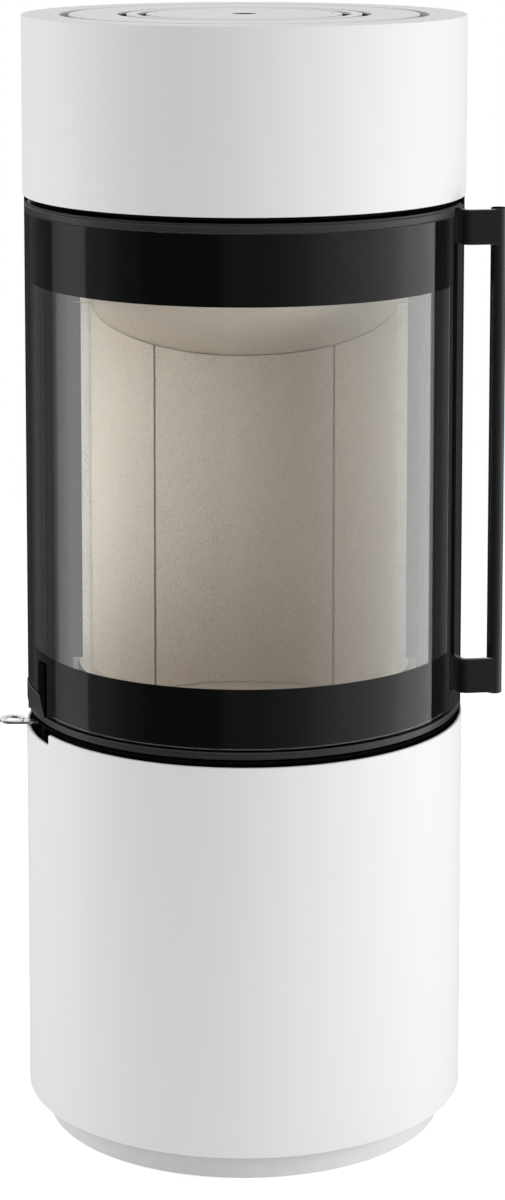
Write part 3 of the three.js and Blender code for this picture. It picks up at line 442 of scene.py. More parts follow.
class Graph:
    """The nodes of one material or of the world."""

    def __init__(self, tree: bpy.types.NodeTree) -> None:
        """Starts with no nodes.

        Args:
            tree: the node tree to fill.
        """
        self.tree = tree
        tree.nodes.clear()

    def node(
        self,
        kind: str,
        settings: Optional[dict[str, object]] = None,
        sockets: Optional[dict[Union[str, int], object]] = None,
    ) -> bpy.types.Node:
        """Adds a node.

        Args:
            kind: its type.
            settings: its properties, which are set first. "stops" gives a ramp's places and colours.
            sockets: a value or a link for each named or numbered input.

        Returns:
            The node.
        """
        made = self.tree.nodes.new(kind)
        for name, value in (settings or {}).items():
            if name == "stops":
                self._stops(made, value)
            else:
                setattr(made, name, value)
        for name, value in (sockets or {}).items():
            source = value.socket if isinstance(value, Signal) else value
            if isinstance(source, bpy.types.NodeSocket):
                self.tree.links.new(source, made.inputs[name])
            else:
                made.inputs[name].default_value = source
        return made

    @staticmethod
    def _stops(ramp: bpy.types.Node, stops: Sequence[tuple[float, Colour]]) -> None:
        """Sets the colours of a ramp.

        Args:
            ramp: the ramp's node.
            stops: places from 0 to 1, each with its colour.
        """
        elements = ramp.color_ramp.elements
        while len(elements) < len(stops):
            elements.new(1.0)
        for element, (place, colour) in zip(elements, stops):
            element.position = place
            element.color = (*colour, 1.0)

    def place(self) -> bpy.types.NodeSocket:
        """The surface's own place in the frame of the solids."""
        return self.node("ShaderNodeTexCoord").outputs["Object"]

    def stretched(self, scale: Colour) -> bpy.types.NodeSocket:
        """The surface's place, scaled along each axis."""
        return self.node("ShaderNodeMapping", {}, {"Vector": self.place(), "Scale": scale}).outputs[0]

    def noise(
        self, size: float, detail: float = 2.0, along: Optional[bpy.types.NodeSocket] = None
    ) -> Signal:
        """Smooth noise from 0 to 1.

        Args:
            size: size of its grains in millimetres.
            detail: finer layers on top.
            along: the place it reads, or None for the surface's own.

        Returns:
            The noise.
        """
        made = self.node(
            "ShaderNodeTexNoise",
            {},
            {"Vector": along or self.place(), "Scale": 1 / (size * MM), "Detail": detail},
        )
        return Signal(self, made.outputs[0])

    def blend(self, first: object, second: object, share: object) -> bpy.types.NodeSocket:
        """Mixes two colours.

        Args:
            first: the colour at share 0.
            second: the colour at share 1.
            share: how much of the second.

        Returns:
            The mixed colour.
        """
        colours = [(*c, 1.0) if isinstance(c, tuple) else c for c in (first, second)]
        made = self.node(
            "ShaderNodeMix",
            {"data_type": "RGBA"},
            {0: share, 6: colours[0], 7: colours[1]},
        )
        return made.outputs[2]

    def steps(self, value: Signal, stops: Sequence[tuple[float, float]]) -> Signal:
        """A number through a curve of straight pieces.

        Args:
            value: the number, from 0 to 1.
            stops: places and the results there.

        Returns:
            The result.
        """
        greys = [(place, (level, level, level)) for place, level in stops]
        made = self.node("ShaderNodeValToRGB", {"stops": greys}, {0: value})
        return Signal(self, made.outputs[0])

    def relief(self, height: Signal, depth: float) -> bpy.types.NodeSocket:
        """Bumps on the surface.

        Args:
            height: their height from 0 to 1.
            depth: what 1 stands for, in millimetres.

        Returns:
            The normal that they give.
        """
        made = self.node("ShaderNodeBump", {}, {"Height": height, "Distance": depth * MM})
        return made.outputs[0]

    def surface(self, shader: bpy.types.NodeSocket, kind: str = "Material") -> None:
        """Ends the nodes in a surface."""
        self.node(f"ShaderNodeOutput{kind}", {}, {"Surface": shader})

    def principled(self, sockets: dict[str, object]) -> bpy.types.NodeSocket:
        """A Principled shader with these sockets."""
        return self.node("ShaderNodeBsdfPrincipled", {}, sockets).outputs[0]


# ---------------------------------------------------------------- finishes


@dataclass(frozen=True)
class Finish:
    """A finish, which is made into a material the first time that it is used.

    Attributes:
        title: name of its material.
    """

    title: str

    def material(self) -> bpy.types.Material:
        """The finish as a material.

        Returns:
            The one material of this finish.
        """
        made = bpy.data.materials.get(self.title)
        if made is None:
            made = bpy.data.materials.new(self.title)
            made.use_nodes = True
            graph = Graph(made.node_tree)
            graph.surface(self.shade(graph))
        return made

    def shade(self, graph: Graph) -> bpy.types.NodeSocket:
        """Builds the nodes and gives the shader."""
        raise NotImplementedError


@dataclass(frozen=True)
class Paint(Finish):
    """Baked paint on sheet steel, with a fine orange-peel grain.

    Attributes:
        colour: its colour.
        roughness: how matte it is.
        grain: size of the peel's grains in millimetres.
        depth: height of the grains in millimetres.
        cloud: share by which the tone drifts over a hand's width.
        gloss: strength of its gloss, 0.5 for a common paint.
    """

    colour: Colour
    roughness: float
    grain: float = 0.9
    depth: float = 0.012
    cloud: float = 0.02
    gloss: float = 0.5

    def shade(self, graph: Graph) -> bpy.types.NodeSocket:
        """Tone drifts widely, and roughness and relief follow the fine grain."""
        wide = graph.noise(140.0, 3.0)
        fine = graph.noise(self.grain, 1.0)
        speck = graph.noise(6.0, 4.0)
        dim = tuple(value * (1 - self.cloud) for value in self.colour)
        bright = tuple(min(1.0, value * (1 + self.cloud)) for value in self.colour)
        return graph.principled(
            {
                "Base Color": graph.blend(dim, bright, wide * 0.6 + speck * 0.4),
                "Roughness": self.roughness + (fine - 0.5) * 0.08 + (speck - 0.5) * 0.06,
                "Specular IOR Level": self.gloss,
                "Normal": graph.relief(fine * 0.75 + speck * 0.25, self.depth),
            }
        )


@dataclass(frozen=True)
class Metal(Finish):
    """Bare steel with drawn scratches.

    Attributes:
        colour: its reflected colour.
        roughness: how dull it is.
        brush: how much longer the scratches are along each axis.
        scratch: depth of the scratches in millimetres.
        stain: share by which handling and heat darken it.
    """

    colour: Colour
    roughness: float
    brush: Colour = (1.0, 1.0, 0.03)
    scratch: float = 0.004
    stain: float = 0.12

    def shade(self, graph: Graph) -> bpy.types.NodeSocket:
        """Scratches run along one axis, and stains lie over them in patches."""
        drawn = graph.noise(0.35, 2.0, graph.stretched(self.brush))
        patch = graph.noise(38.0, 4.0)
        dark = tuple(value * (1 - 2 * self.stain) for value in self.colour)
        return graph.principled(
            {
                "Base Color": graph.blend(dark, self.colour, patch * 0.8 + drawn * 0.2),
                "Metallic": 1.0,
                "Roughness": self.roughness + (drawn - 0.5) * 0.12 + (0.5 - patch) * 0.1,
                "Normal": graph.relief(drawn, self.scratch),
            }
        )


@dataclass(frozen=True)
class FireBoard(Finish):
    """Pressed vermiculite board, with flat flakes in a matte sandy ground.

    Attributes:
        colour: the ground.
        flake: the pale flakes.
        fleck: the dark flecks between them.
    """

    colour: Colour
    flake: Colour
    fleck: Colour

    def shade(self, graph: Graph) -> bpy.types.NodeSocket:
        """Flakes are cells two millimetres across, and sand and wide clouds lie over them."""
        cells = graph.node(
            "ShaderNodeTexVoronoi", {"feature": "F1"}, {"Vector": graph.place(), "Scale": 520.0}
        )
        tint = graph.node("ShaderNodeSeparateColor", {}, {0: cells.outputs["Color"]})
        flakes = Signal(graph, tint.outputs[0])
        sand = graph.noise(0.8, 3.0)
        cloud = graph.noise(90.0, 3.0)
        pale = graph.steps(flakes, [(0.72, 0.0), (0.95, 0.45)])
        dark = graph.steps(1 - flakes, [(0.86, 0.0), (0.98, 0.4)])
        ground = graph.blend(
            tuple(value * 0.95 for value in self.colour),
            tuple(min(1.0, value * 1.05) for value in self.colour),
            sand * 0.6 + cloud * 0.4,
        )
        colour = graph.blend(graph.blend(ground, self.flake, pale), self.fleck, dark)
        height = sand * 0.5 + Signal(graph, cells.outputs["Distance"]) * 200.0 * 0.3
        return graph.principled(
            {
                "Base Color": colour,
                "Roughness": 0.9 + (sand - 0.5) * 0.1,
                "Specular IOR Level": 0.25,
                "Normal": graph.relief(height, 0.014),
            }
        )


@dataclass(frozen=True)
class Casting(Finish):
    """Sand-cast iron, dark and pitted.

    Attributes:
        colour: the skin's colour.
        roughness: how dull it is.
    """

    colour: Colour
    roughness: float

    def shade(self, graph: Graph) -> bpy.types.NodeSocket:
        """Sand grains and wider pits make the relief, and ash greys the high places."""
        sand = graph.noise(1.1, 4.0)
        pits = graph.noise(7.0, 3.0)
        ash = tuple(value * 2.2 + 0.01 for value in self.colour)
        return graph.principled(
            {
                "Base Color": graph.blend(self.colour, ash, pits * sand),
                "Roughness": self.roughness + (pits - 0.5) * 0.2,
                "Normal": graph.relief(sand * 0.6 + pits * 0.4, 0.25),
            }
        )


@dataclass(frozen=True)
class Rope(Finish):
    """Knitted glass-fibre rope.

    Attributes:
        colour: its colour.
    """

    colour: Colour

    def shade(self, graph: Graph) -> bpy.types.NodeSocket:
        """Fine fibres lie over the strands that the mesh already has."""
        fibre = graph.noise(0.5, 3.0)
        worn = graph.noise(16.0, 2.0)
        pale = tuple(value * 2.4 for value in self.colour)
        return graph.principled(
            {
                "Base Color": graph.blend(self.colour, pale, fibre * worn),
                "Roughness": 0.92 + (fibre - 0.5) * 0.1,
                "Specular IOR Level": 0.2,
                "Normal": graph.relief(fibre, 0.12),
            }
        )


@dataclass(frozen=True)
class Glazing(Finish):
    """One face of clear ceramic glass.

    Attributes:
        tint: what it lets through.
        gloss: share that it reflects straight on.
    """

    tint: Colour
    gloss: float

    def shade(self, graph: Graph) -> bpy.types.NodeSocket:
        """Clear and mirror shaders, mixed by the facing angle to its fifth power."""
        weight = graph.node("ShaderNodeLayerWeight", {}, {"Blend": 0.5})
        edge_on = Signal(graph, weight.outputs["Facing"])
        film = graph.noise(60.0, 4.0)
        share = self.gloss + edge_on**5 * (1 - self.gloss)
        clear = graph.node("ShaderNodeBsdfTransparent", {}, {"Color": (*self.tint, 1.0)})
        mirror = graph.node(
            "ShaderNodeBsdfAnisotropic", {}, {"Color": (1.0, 1.0, 1.0, 1.0), "Roughness": 0.03}
        )
        mixed = graph.node(
            "ShaderNodeMixShader",
            {},
            {0: share + (film - 0.5) * 0.006, 1: clear.outputs[0], 2: mirror.outputs[0]},
        )
        return mixed.outputs[0]


WHITE_PAINT = Paint("white powder paint", (0.83, 0.835, 0.845), 0.55, 0.8, 0.010, 0.006)
BLACK_PAINT = Paint("black stove paint", (0.012, 0.012, 0.013), 0.16, 0.9, 0.003, 0.10, 0.25)
SATIN_BLACK = Paint("satin black handle paint", (0.010, 0.010, 0.011), 0.16, 0.7, 0.003, 0.10)
# Black paint, darker than the stove paint and without gloss: painted shade for parts that lie in shadow, the
# rings above and below the door, the wall of the lid's finger hole and the handle bar's ends. The hinge tongue
# takes it too.
BLACK_AND_PAINTED_SHADE = Paint("black paint darkened as painted shade", (0.004, 0.004, 0.004), 0.7, 0.9, 0.008, 0.10, 0.0)
HEAT_BLACK = Paint("heat-proof black paint", (0.011, 0.011, 0.011), 0.62, 0.9, 0.004, 0.10, 0.12)
RAIL_PAINT = Paint("dark grey rail paint", (0.020, 0.021, 0.022), 0.36, 0.9, 0.010, 0.08)
PRINT = Paint("black fired print", (0.002, 0.002, 0.002), 0.6, 0.3, 0.003, 0.05, 0.0)
RAW_STEEL = Metal("bare sheet steel", (0.42, 0.43, 0.44), 0.38)
STAINLESS = Metal("polished stainless steel", (0.78, 0.78, 0.79), 0.24, (0.04, 1.0, 1.0), 0.002, 0.03)
DARK_PIN = Metal("blackened steel pin", (0.03, 0.03, 0.03), 0.3)
BOARD = FireBoard(
    "pressed vermiculite board", (0.745, 0.675, 0.59), (0.80, 0.74, 0.655), (0.52, 0.44, 0.36)
)
IRON = Casting("cast iron", (0.022, 0.022, 0.022), 0.55)
ROPE = Rope("glass-fibre rope", (0.03, 0.03, 0.032))
GLASS_FACE = Glazing("outer face of the glass", (0.965, 0.972, 0.968), 0.04)
GLASS_COATED = Glazing("coated inner face of the glass", (0.965, 0.972, 0.968), 0.17)


class Slot(Enum):
    """The record's material slots, which no piece here is given."""

    WHITE = "white_paint"
    BLACK = "black_paint"
    RAIL = "dark_rail"
    STEEL = "raw_steel"
    STAINLESS = "stainless"
    BOARD = "vermiculite"
    IRON = "cast_iron"
    ROPE = "fibre_rope"
    GLASS = "clear_glass"


class Body(Enum):
    """What moves together."""

    STOVE = "stove"
    DOOR = "door"
    AIR = "air_control"
    LID = "lid"
    ASH = "ash_insert"


# ---------------------------------------------------------------- making pieces


def fixed(made: bpy.types.Object) -> None:
    """Applies an object's modifiers to its mesh.

    Args:
        made: the object.
    """
    evaluated = made.evaluated_get(bpy.context.evaluated_depsgraph_get())
    mesh = bpy.data.meshes.new_from_object(evaluated)
    made.modifiers.clear()
    made.data = mesh


def shaded(made: bpy.types.Object, angle: float = 34.0) -> None:
    """Shades a piece smoothly but for its sharp edges, with flat faces kept flat.

    Args:
        made: the piece.
        angle: degrees past which an edge is sharp.
    """
    mesh = made.data
    mesh.polygons.foreach_set("use_smooth", np.ones(len(mesh.polygons), bool))
    mesh.set_sharp_from_angle(angle=math.radians(angle))
    weighted = made.modifiers.new("flat faces stay flat", "WEIGHTED_NORMAL")
    weighted.keep_sharp = True
    weighted.weight = 60


def settle(
    made: bpy.types.Object,
    finish: Finish,
    body: Body,
    replaces: Sequence[str] = (),
) -> bpy.types.Object:
    """Gives a piece its finish, its body and the solids that it stands for.

    Args:
        made: the piece.
        finish: its finish.
        body: what it moves with.
        replaces: names of the solids that it stands for.

    Returns:
        The piece.
    """
    if not made.data.materials:
        made.data.materials.append(finish.material())
    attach(made, body.value)
    if replaces:
        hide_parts(*replaces)
    LOG.info("%s: %d faces", made.name, len(made.data.polygons))
    return made


def build(name: str, patches: Sequence[Patch]) -> bpy.types.Object:
    """Joins patches into one object at the origin.

    Args:
        name: name of the piece.
        patches: its surfaces.

    Returns:
        The object.
    """
    form = bmesh.new()
    for patch in patches:
        patch.add_to(form)
    mesh = bpy.data.meshes.new(name)
    form.to_mesh(mesh)
    form.free()
    made = bpy.data.objects.new(name, mesh)
    bpy.context.scene.collection.objects.link(made)
    return made


def inlaid(made: bpy.types.Object, first: Finish, second: Finish, chosen: Array) -> None:
    """Gives some faces of a piece a second finish.

    Args:
        made: the piece.
        first: the finish of the others.
        second: the finish of the chosen ones.
        chosen: 1 for each chosen face, 0 for the others.
    """
    for finish in (first, second):
        made.data.materials.append(finish.material())
    made.data.polygons.foreach_set("material_index", chosen.astype(np.int32))


def facing(made: bpy.types.Object) -> tuple[Array, Array]:
    """Which way the faces of a piece look, and where their middles are.

    Args:
        made: the piece.

    Returns:
        The unit normals and the middles in metres, a row for each face.
    """
    count = len(made.data.polygons)
    normals, centres = np.zeros(count * 3), np.zeros(count * 3)
    made.data.polygons.foreach_get("normal", normals)
    made.data.polygons.foreach_get("center", centres)
    return normals.reshape(-1, 3), centres.reshape(-1, 3)


def pierce(made: bpy.types.Object, cutter: Patch) -> None:
    """Cuts a hole in a piece.

    Args:
        made: the piece.
        cutter: the closed surface of what goes.
    """
    tool = build("cutter", [cutter])
    hole = made.modifiers.new("hole", "BOOLEAN")
    hole.operation = "DIFFERENCE"
    hole.solver = "EXACT"
    hole.object = tool
    fixed(made)
    bpy.data.objects.remove(tool)


def refined(node: str, name: str, width: float, join: float = 1.0) -> bpy.types.Object:
    """A copy of a solid whose triangles are joined to faces and whose edges are rounded.

    Args:
        node: the solid.
        name: name of the piece.
        width: size of the rounding in millimetres.
        join: degrees up to which neighbouring triangles become one face.

    Returns:
        The object.
    """
    form = bmesh.new()
    form.from_mesh(frame["nodes"][node].data)
    bmesh.ops.remove_doubles(form, verts=form.verts, dist=1e-5)
    bmesh.ops.dissolve_limit(
        form, angle_limit=math.radians(join), verts=form.verts, edges=form.edges
    )
    mesh = bpy.data.meshes.new(name)
    form.to_mesh(mesh)
    form.free()
    made = bpy.data.objects.new(name, mesh)
    bpy.context.scene.collection.objects.link(made)
    bevel = made.modifiers.new("broken edges", "BEVEL")
    bevel.width = width * MM
    bevel.segments = 2
    bevel.limit_method = "ANGLE"
    bevel.angle_limit = math.radians(32)
    fixed(made)
    return made


def dress_solid(node: str, finish: Finish) -> None:
    """Gives a solid that stays in sight its finish.

    Args:
        node: the solid.
        finish: its finish.
    """
    made = frame["nodes"][node]
    made.data.materials.clear()
    made.data.materials.append(finish.material())
    LOG.info("%s: the solid itself", node)


# ---------------------------------------------------------------- base


@dataclass
class Base:
    """Plinth, floor plates, pedestal and the lower white casing with its lever notch.

    Attributes:
        casing_radius: outside of the casing.
        sheet: thickness of the casing.
        edge: rounding of the casing's outer edges.
        plinth_radius: outside of the plinth.
        flange: width of the plinth's inward flange.
        notch_left: bearing of the notch's rear end.
        notch_right: bearing of its front end.
        notch_depth: how deep it is.
        notch_corner: radius of its lower corners.
        notch_lead: radius where its ends meet the rim.
        inlet: radius of the hole for the air spigot.
        spigot_radius: outside of the air spigot.
        spigot_flange: radius of its flange.
    """

    casing_radius: float = 235.0
    sheet: float = 3.0
    edge: float = 1.2
    plinth_radius: float = 212.0
    flange: float = 22.0
    notch_left: float = -103.95
    notch_right: float = -60.89
    notch_depth: float = 11.5
    notch_corner: float = 3.0
    notch_lead: float = 1.6
    inlet: float = 53.0
    spigot_radius: float = 50.0
    spigot_flange: float = 62.0

    def rim(self, bearing: Array) -> Array:
        """How far the casing's rim drops into the notch.

        The notch's outline is a rounded path along the rim, with length along the rim as its first
        number, and the drop at a bearing is read off it by straight lines between its points.

        Args:
            bearing: bearings in degrees.

        Returns:
            The drop, 0 or less.
        """
        span = math.radians(1) * self.casing_radius
        start, end = self.notch_left * span, self.notch_right * span
        lean = 0.03
        path = rounded(
            [
                (start - 60.0, 0.0),
                (start, 0.0, self.notch_lead),
                (start + lean, -self.notch_depth, self.notch_corner),
                (end - lean, -self.notch_depth, self.notch_corner),
                (end, 0.0, self.notch_lead),
                (end + 60.0, 0.0),
            ],
            8,
        )
        return np.interp(bearing * span, path[:, 0], path[:, 1])

    def bearings(self) -> Array:
        """Bearings of the casing's sections, dense at the notch's ends.

        Returns:
            The bearings in order.
        """
        near = math.degrees(6.0 / self.casing_radius)
        ends = [
            np.linspace(side - near, side + near, 90)
            for side in (self.notch_left, self.notch_right)
        ]
        return np.unique(np.concatenate([np.arange(-180, 180, 1.5), *ends]))

    def casing(self) -> bpy.types.Object:
        """The casing: its section carried round the axis, with its upper half lowered at the notch.

        Returns:
            The object.
        """
        low, high = levels("base_casing")
        inner, outer = self.casing_radius - self.sheet, self.casing_radius
        section = rounded(
            [
                (inner, low, 0.4),
                (outer, low, self.edge),
                (outer, high, self.edge),
                (inner, high, 0.4),
            ]
        )
        bearing = self.bearings()[:, None]
        upper = section[None, :, 1] > (low + high) / 2
        height = section[None, :, 1] + np.where(upper, self.rim(bearing), 0.0)
        points = around(section[None, :, 0], bearing, height)
        made = build("lower_casing", [Patch(points, wrap_rows=True)])
        hole = rounded([(0.0, 200.0), (self.inlet, 200.0), (self.inlet, 260.0), (0.0, 260.0)])
        spigot_low, spigot_high = levels("air_spigot")
        pierce(made, turned_level(hole, (spigot_low + spigot_high) / 2))
        shaded(made)
        return made

    def plinth(self) -> bpy.types.Object:
        """The plinth's wall and its inward flange, turned as one profile.

        Returns:
            The object.
        """
        low, high = levels("plinth_ring")
        outer = self.plinth_radius
        inner = outer - self.sheet
        made = build(
            "plinth",
            [
                turned(
                    rounded(
                        [
                            (inner, low, 0.4),
                            (outer, low, 0.9),
                            (outer, high, 1.6),
                            (outer - self.flange, high, 0.5),
                            (outer - self.flange, high - self.sheet, 0.4),
                            (inner, high - self.sheet, 1.0),
                        ]
                    )
                )
            ],
        )
        shaded(made)
        return made

    def spigot(self) -> bpy.types.Object:
        """The air spigot with its flange and a rolled end, turned about its level axis.

        Returns:
            The object.
        """
        front, back = depths("air_spigot")
        low, high = levels("air_spigot")
        wall = self.sheet
        profile = rounded(
            [
                (self.spigot_radius - wall, front, 0.4),
                (self.spigot_flange, front, 0.8),
                (self.spigot_flange, front + wall, 0.8),
                (self.spigot_radius, front + wall, 1.2),
                (self.spigot_radius, back, 1.3),
                (self.spigot_radius - wall, back, 1.3),
            ]
        )
        made = build("air_inlet", [turned_level(profile, (low + high) / 2)])
        shaded(made)
        return made

    def make(self) -> None:
        """Builds and dresses the base."""
        settle(self.casing(), WHITE_PAINT, Body.STOVE, ["base_casing"])
        settle(self.plinth(), WHITE_PAINT, Body.STOVE, ["plinth_ring"])
        settle(self.spigot(), RAW_STEEL, Body.STOVE, ["air_spigot"])
        for node in ("base_plate", "base_deck", "pedestal"):
            dress_solid(node, BLACK_PAINT)
        for node in sorted(frame["nodes"]):
            if node.startswith("levelling_screw"):
                dress_solid(node, RAW_STEEL)


# ---------------------------------------------------------------- air control


@dataclass
class AirControl:
    """Shutter under the ash pit and the cranked lever that ends in an eye.

    Attributes:
        edge: rounding of the lever's edges.
        pins: places in plan of the two small pins beside the eye.
        pin_radius: their radius.
        pin_rise: how far they stand proud.
    """

    edge: float = 0.45
    pins: tuple[tuple[float, float], ...] = ((-237.8, -25.0), (-237.8, -33.5))
    pin_radius: float = 1.3
    pin_rise: float = 0.5

    def make(self) -> None:
        """Builds and dresses the air control."""
        lever = refined("air_lever", "air_lever_bar", self.edge)
        shaded(lever, 30.0)
        settle(lever, STAINLESS, Body.AIR, ["air_lever"])
        high = levels("air_lever")[1]
        heads = build(
            "lever_pins",
            [
                slab(circle(self.pin_radius, place, 20), high - 1.0, high + self.pin_rise, 0.3)
                for place in self.pins
            ],
        )
        shaded(heads)
        settle(heads, DARK_PIN, Body.AIR)
        for node in ("air_shutter", "shutter_bolt", "shutter_nut"):
            dress_solid(node, RAW_STEEL)


# ---------------------------------------------------------------- firebox


@dataclass
class Firebox:
    """Welded firebox, the frame that the door seals on, and the fire-board lining.

    Attributes:
        frame_inner: radius of the frame's back.
        frame_face: radius of the frame's sealing face.
        frame_sheet: thickness of its sheet.
        half_angle: bearing of the frame's sides.
        post_left: inner edge of the left sealing face.
        post_right: inner edge of the right one.
        post_right_end: where the right one stops before the catch.
        sealing: height of the faces above and below the opening; not used.
        panel_inner: inner face of the lining.
        panel_outer: outer face of the lining.
        strip_inner: inner edge of the black strips that hold the side panels.
        strip_outer: outer edge of those strips.
        strip_depth: depth of those strips.
        shoe_outer: outer edge of the sheets under the baffle's ends.
        seam: bearing of the seams beside the back panel, from the back.
        gap: half the gap in a seam, in degrees.
        joint: gap between the panels and the baffle.
        lip_inner: inner face of the hearth's lip.
        lip_outer: outer face of the lip.
        lip_half: bearing of its ends.
        slope: degrees that the baffle rises towards the front.
        baffle_low: underside of the baffle on the axis.
    """

    frame_inner: float = 190.7
    frame_face: float = 213.5
    frame_sheet: float = 3.0
    half_angle: float = 84.0
    post_left: float = -76.0
    post_right: float = 73.0
    post_right_end: float = 78.5
    sealing: float = 28.0
    panel_inner: float = 163.0
    panel_outer: float = 185.5
    strip_inner: float = 174.5
    strip_outer: float = 185.9
    strip_depth: float = 1.5
    shoe_outer: float = 184.9
    seam: float = 37.6
    gap: float = 0.42
    joint: float = 1.0
    lip_inner: float = 164.0
    lip_outer: float = 179.0
    lip_half: float = 89.7
    slope: float = 27.25
    baffle_low: float = 886.0

    def frame_parts(self) -> None:
        """Sill, lintel and posts, each a bent flange with its sealing face."""
        inner, face, half = self.frame_inner, self.frame_face, self.half_angle
        sheet = self.frame_sheet
        back = face - sheet
        low, sill_top = levels("frame_sill")
        lintel_low, high = levels("frame_lintel")
        sill = [
            arc(inner, face, low, low + sheet, -half, half, 0.5),
            arc(back, face, low, sill_top, -half, half, 0.5),
        ]
        lintel = [
            arc(inner, face, high - sheet, high, -half, half, 0.5),
            arc(back, face, lintel_low, high, -half, half, 0.5),
        ]
        post_low, post_high = levels("frame_post_left")
        side = half - 1.0
        left = [
            arc(inner, face, post_low, post_high, -half, -side, 0.5),
            arc(back, face, post_low, post_high, -half, self.post_left, 0.5),
        ]
        catch_low, catch_high = levels("catch_spring")
        reach = (catch_high - catch_low) / 2
        right = [
            arc(inner, face, post_low, post_high, side, half, 0.5),
            arc(back, face, post_low, post_high, self.post_right, self.post_right_end, 0.5),
            arc(back, face, post_low, catch_low - reach, self.post_right, half, 0.5),
            arc(back, face, catch_high + reach, post_high, self.post_right, half, 0.5),
            arc(back, face + 6.1, catch_low - reach + 0.5, catch_high + reach - 0.5, side, half, 0.5),
        ]
        for name, patches in (
            ("frame_sill", sill),
            ("frame_lintel", lintel),
            ("frame_post_left", left),
            ("frame_post_right", right),
        ):
            made = build(f"door_{name}", patches)
            shaded(made)
            settle(made, HEAT_BLACK, Body.STOVE, [name])

    def under_baffle(self, bearing: Array, radius: Array) -> Array:
        """Level where a panel ends: on the baffle's sloping underside, which falls to the back.

        Args:
            bearing: bearings in degrees.
            radius: distances from the axis.

        Returns:
            The levels.
        """
        behind = -radius * np.cos(np.radians(bearing))
        return self.baffle_low - self.joint - behind * math.tan(math.radians(self.slope))

    def lining(self) -> None:
        """Three standing panels, the lip before the embers and the stone round the grate."""
        low = levels("lining_back")[0]
        for node, left, right in (
            ("lining_back", 180 - self.seam, 180 + self.seam),
            ("lining_right", 90.0, 180 - self.seam),
            ("lining_left", 180 + self.seam, 270.0),
        ):
            panel = arc(
                self.panel_inner,
                self.panel_outer,
                low,
                self.under_baffle,
                left + self.gap,
                right - self.gap,
                0.9,
            )
            made = build(f"fire_board_{node.split('_')[1]}", [panel])
            shaded(made)
            settle(made, BOARD, Body.STOVE, [node])
        self.strips()
        self.shoes()
        lip_low, lip_high = levels("hearth_lip")
        lip = build(
            "fire_board_lip",
            [
                arc(
                    self.lip_inner,
                    self.lip_outer,
                    lip_low,
                    lip_high,
                    -self.lip_half,
                    self.lip_half,
                    1.6,
                )
            ],
        )
        # The lip's outer face, which lies in shade below its edge, takes the black paint instead of the board's
        # colour: painted shade.
        normals, centres = facing(lip)
        inlaid(lip, BOARD, HEAT_BLACK, (normals[:, :2] * centres[:, :2]).sum(1) > 0.5 * self.lip_inner * MM)
        shaded(lip)
        settle(lip, BOARD, Body.STOVE, ["hearth_lip"])
        stone_low, stone_high = levels("floor_stone")
        stone = rounded(
            [
                (84.4, stone_low, 0.5),
                (185.3, stone_low, 0.5),
                (185.3, stone_high, 0.8),
                (84.4, stone_high, 2.0),
            ]
        )
        ring = build("fire_board_floor", [turned(stone, 144)])
        shaded(ring)
        settle(ring, BOARD, Body.STOVE, ["floor_stone"])
        baffle = refined("baffle", "fire_board_baffle", 0.8)
        shaded(baffle)
        settle(baffle, BOARD, Body.STOVE, ["baffle"])

    def strips(self) -> None:
        """Upright black strips that lie on the front edges of the side panels."""
        low, high = levels("lining_left")
        lip = levels("hearth_lip")[1]
        near, far = self.strip_inner, self.strip_outer
        made = build(
            "panel_strips",
            [
                slab(
                    np.array(
                        [
                            (side * near, -self.strip_depth),
                            (side * far, -self.strip_depth),
                            (side * far, -0.05),
                            (side * near, -0.05),
                        ][::side]
                    ),
                    lip + 0.5,
                    high - 1.0,
                    0.3,
                )
                for side in (-1, 1)
            ],
        )
        shaded(made)
        settle(made, HEAT_BLACK, Body.STOVE)

    def shoes(self) -> None:
        """Black sheet under the ends of the baffle, which is sheared to its slope.

        Each point rises by its distance in front of the axis times the slope's tangent.
        """
        near, back = self.strip_inner, -self.strip_depth - 0.1
        low = self.baffle_low - 0.5
        rim = [tuple(on_bearing(self.shoe_outer, bearing)) for bearing in np.linspace(71.7, 89.4, 8)]
        plates = []
        for side in (-1, 1):
            corners = [(near, rim[0][1]), *rim, (near, back)]
            outline = np.array([(side * across, along) for across, along in corners][::side])
            plate = slab(outline, low - 0.4, low - 0.1, 0.1)
            rise = -plate.points[..., 1] * math.tan(math.radians(self.slope))
            plate.points = plate.points + np.stack([0 * rise, 0 * rise, rise], axis=-1)
            plates.append(plate)
        made = build("baffle_shoes", plates)
        shaded(made)
        settle(made, HEAT_BLACK, Body.STOVE)

    def ash(self) -> None:
        """The iron grate and the pan under it."""
        grate = refined("grate", "fire_grate", 0.7)
        shaded(grate)
        settle(grate, IRON, Body.ASH, ["grate"])
        low, high = levels("ash_pan")
        made = build(
            "ash_bowl",
            [
                turned(
                    rounded(
                        [
                            (0.0, low),
                            (70.0, low, 4.0),
                            (70.0, high - 2.0, 0.6),
                            (83.9, high - 2.0, 0.5),
                            (83.9, high, 0.5),
                            (68.0, high, 0.8),
                            (68.0, low + 2.0, 2.0),
                            (0.0, low + 2.0),
                        ]
                    ),
                    96,
                    closed=False,
                )
            ],
        )
        shaded(made)
        settle(made, RAW_STEEL, Body.ASH, ["ash_pan"])

    def make(self) -> None:
        """Builds and dresses the firebox."""
        for node in ("firebox_body", "firebox_floor", "firebox_roof", "ash_pit"):
            dress_solid(node, HEAT_BLACK)
        dress_solid("smoke_shelf", RAW_STEEL)
        self.frame_parts()
        self.lining()
        self.ash()
        spring = refined("catch_spring", "catch_leaf", 0.3)
        shaded(spring)
        settle(spring, STAINLESS, Body.STOVE, ["catch_spring"])


# ---------------------------------------------------------------- shell


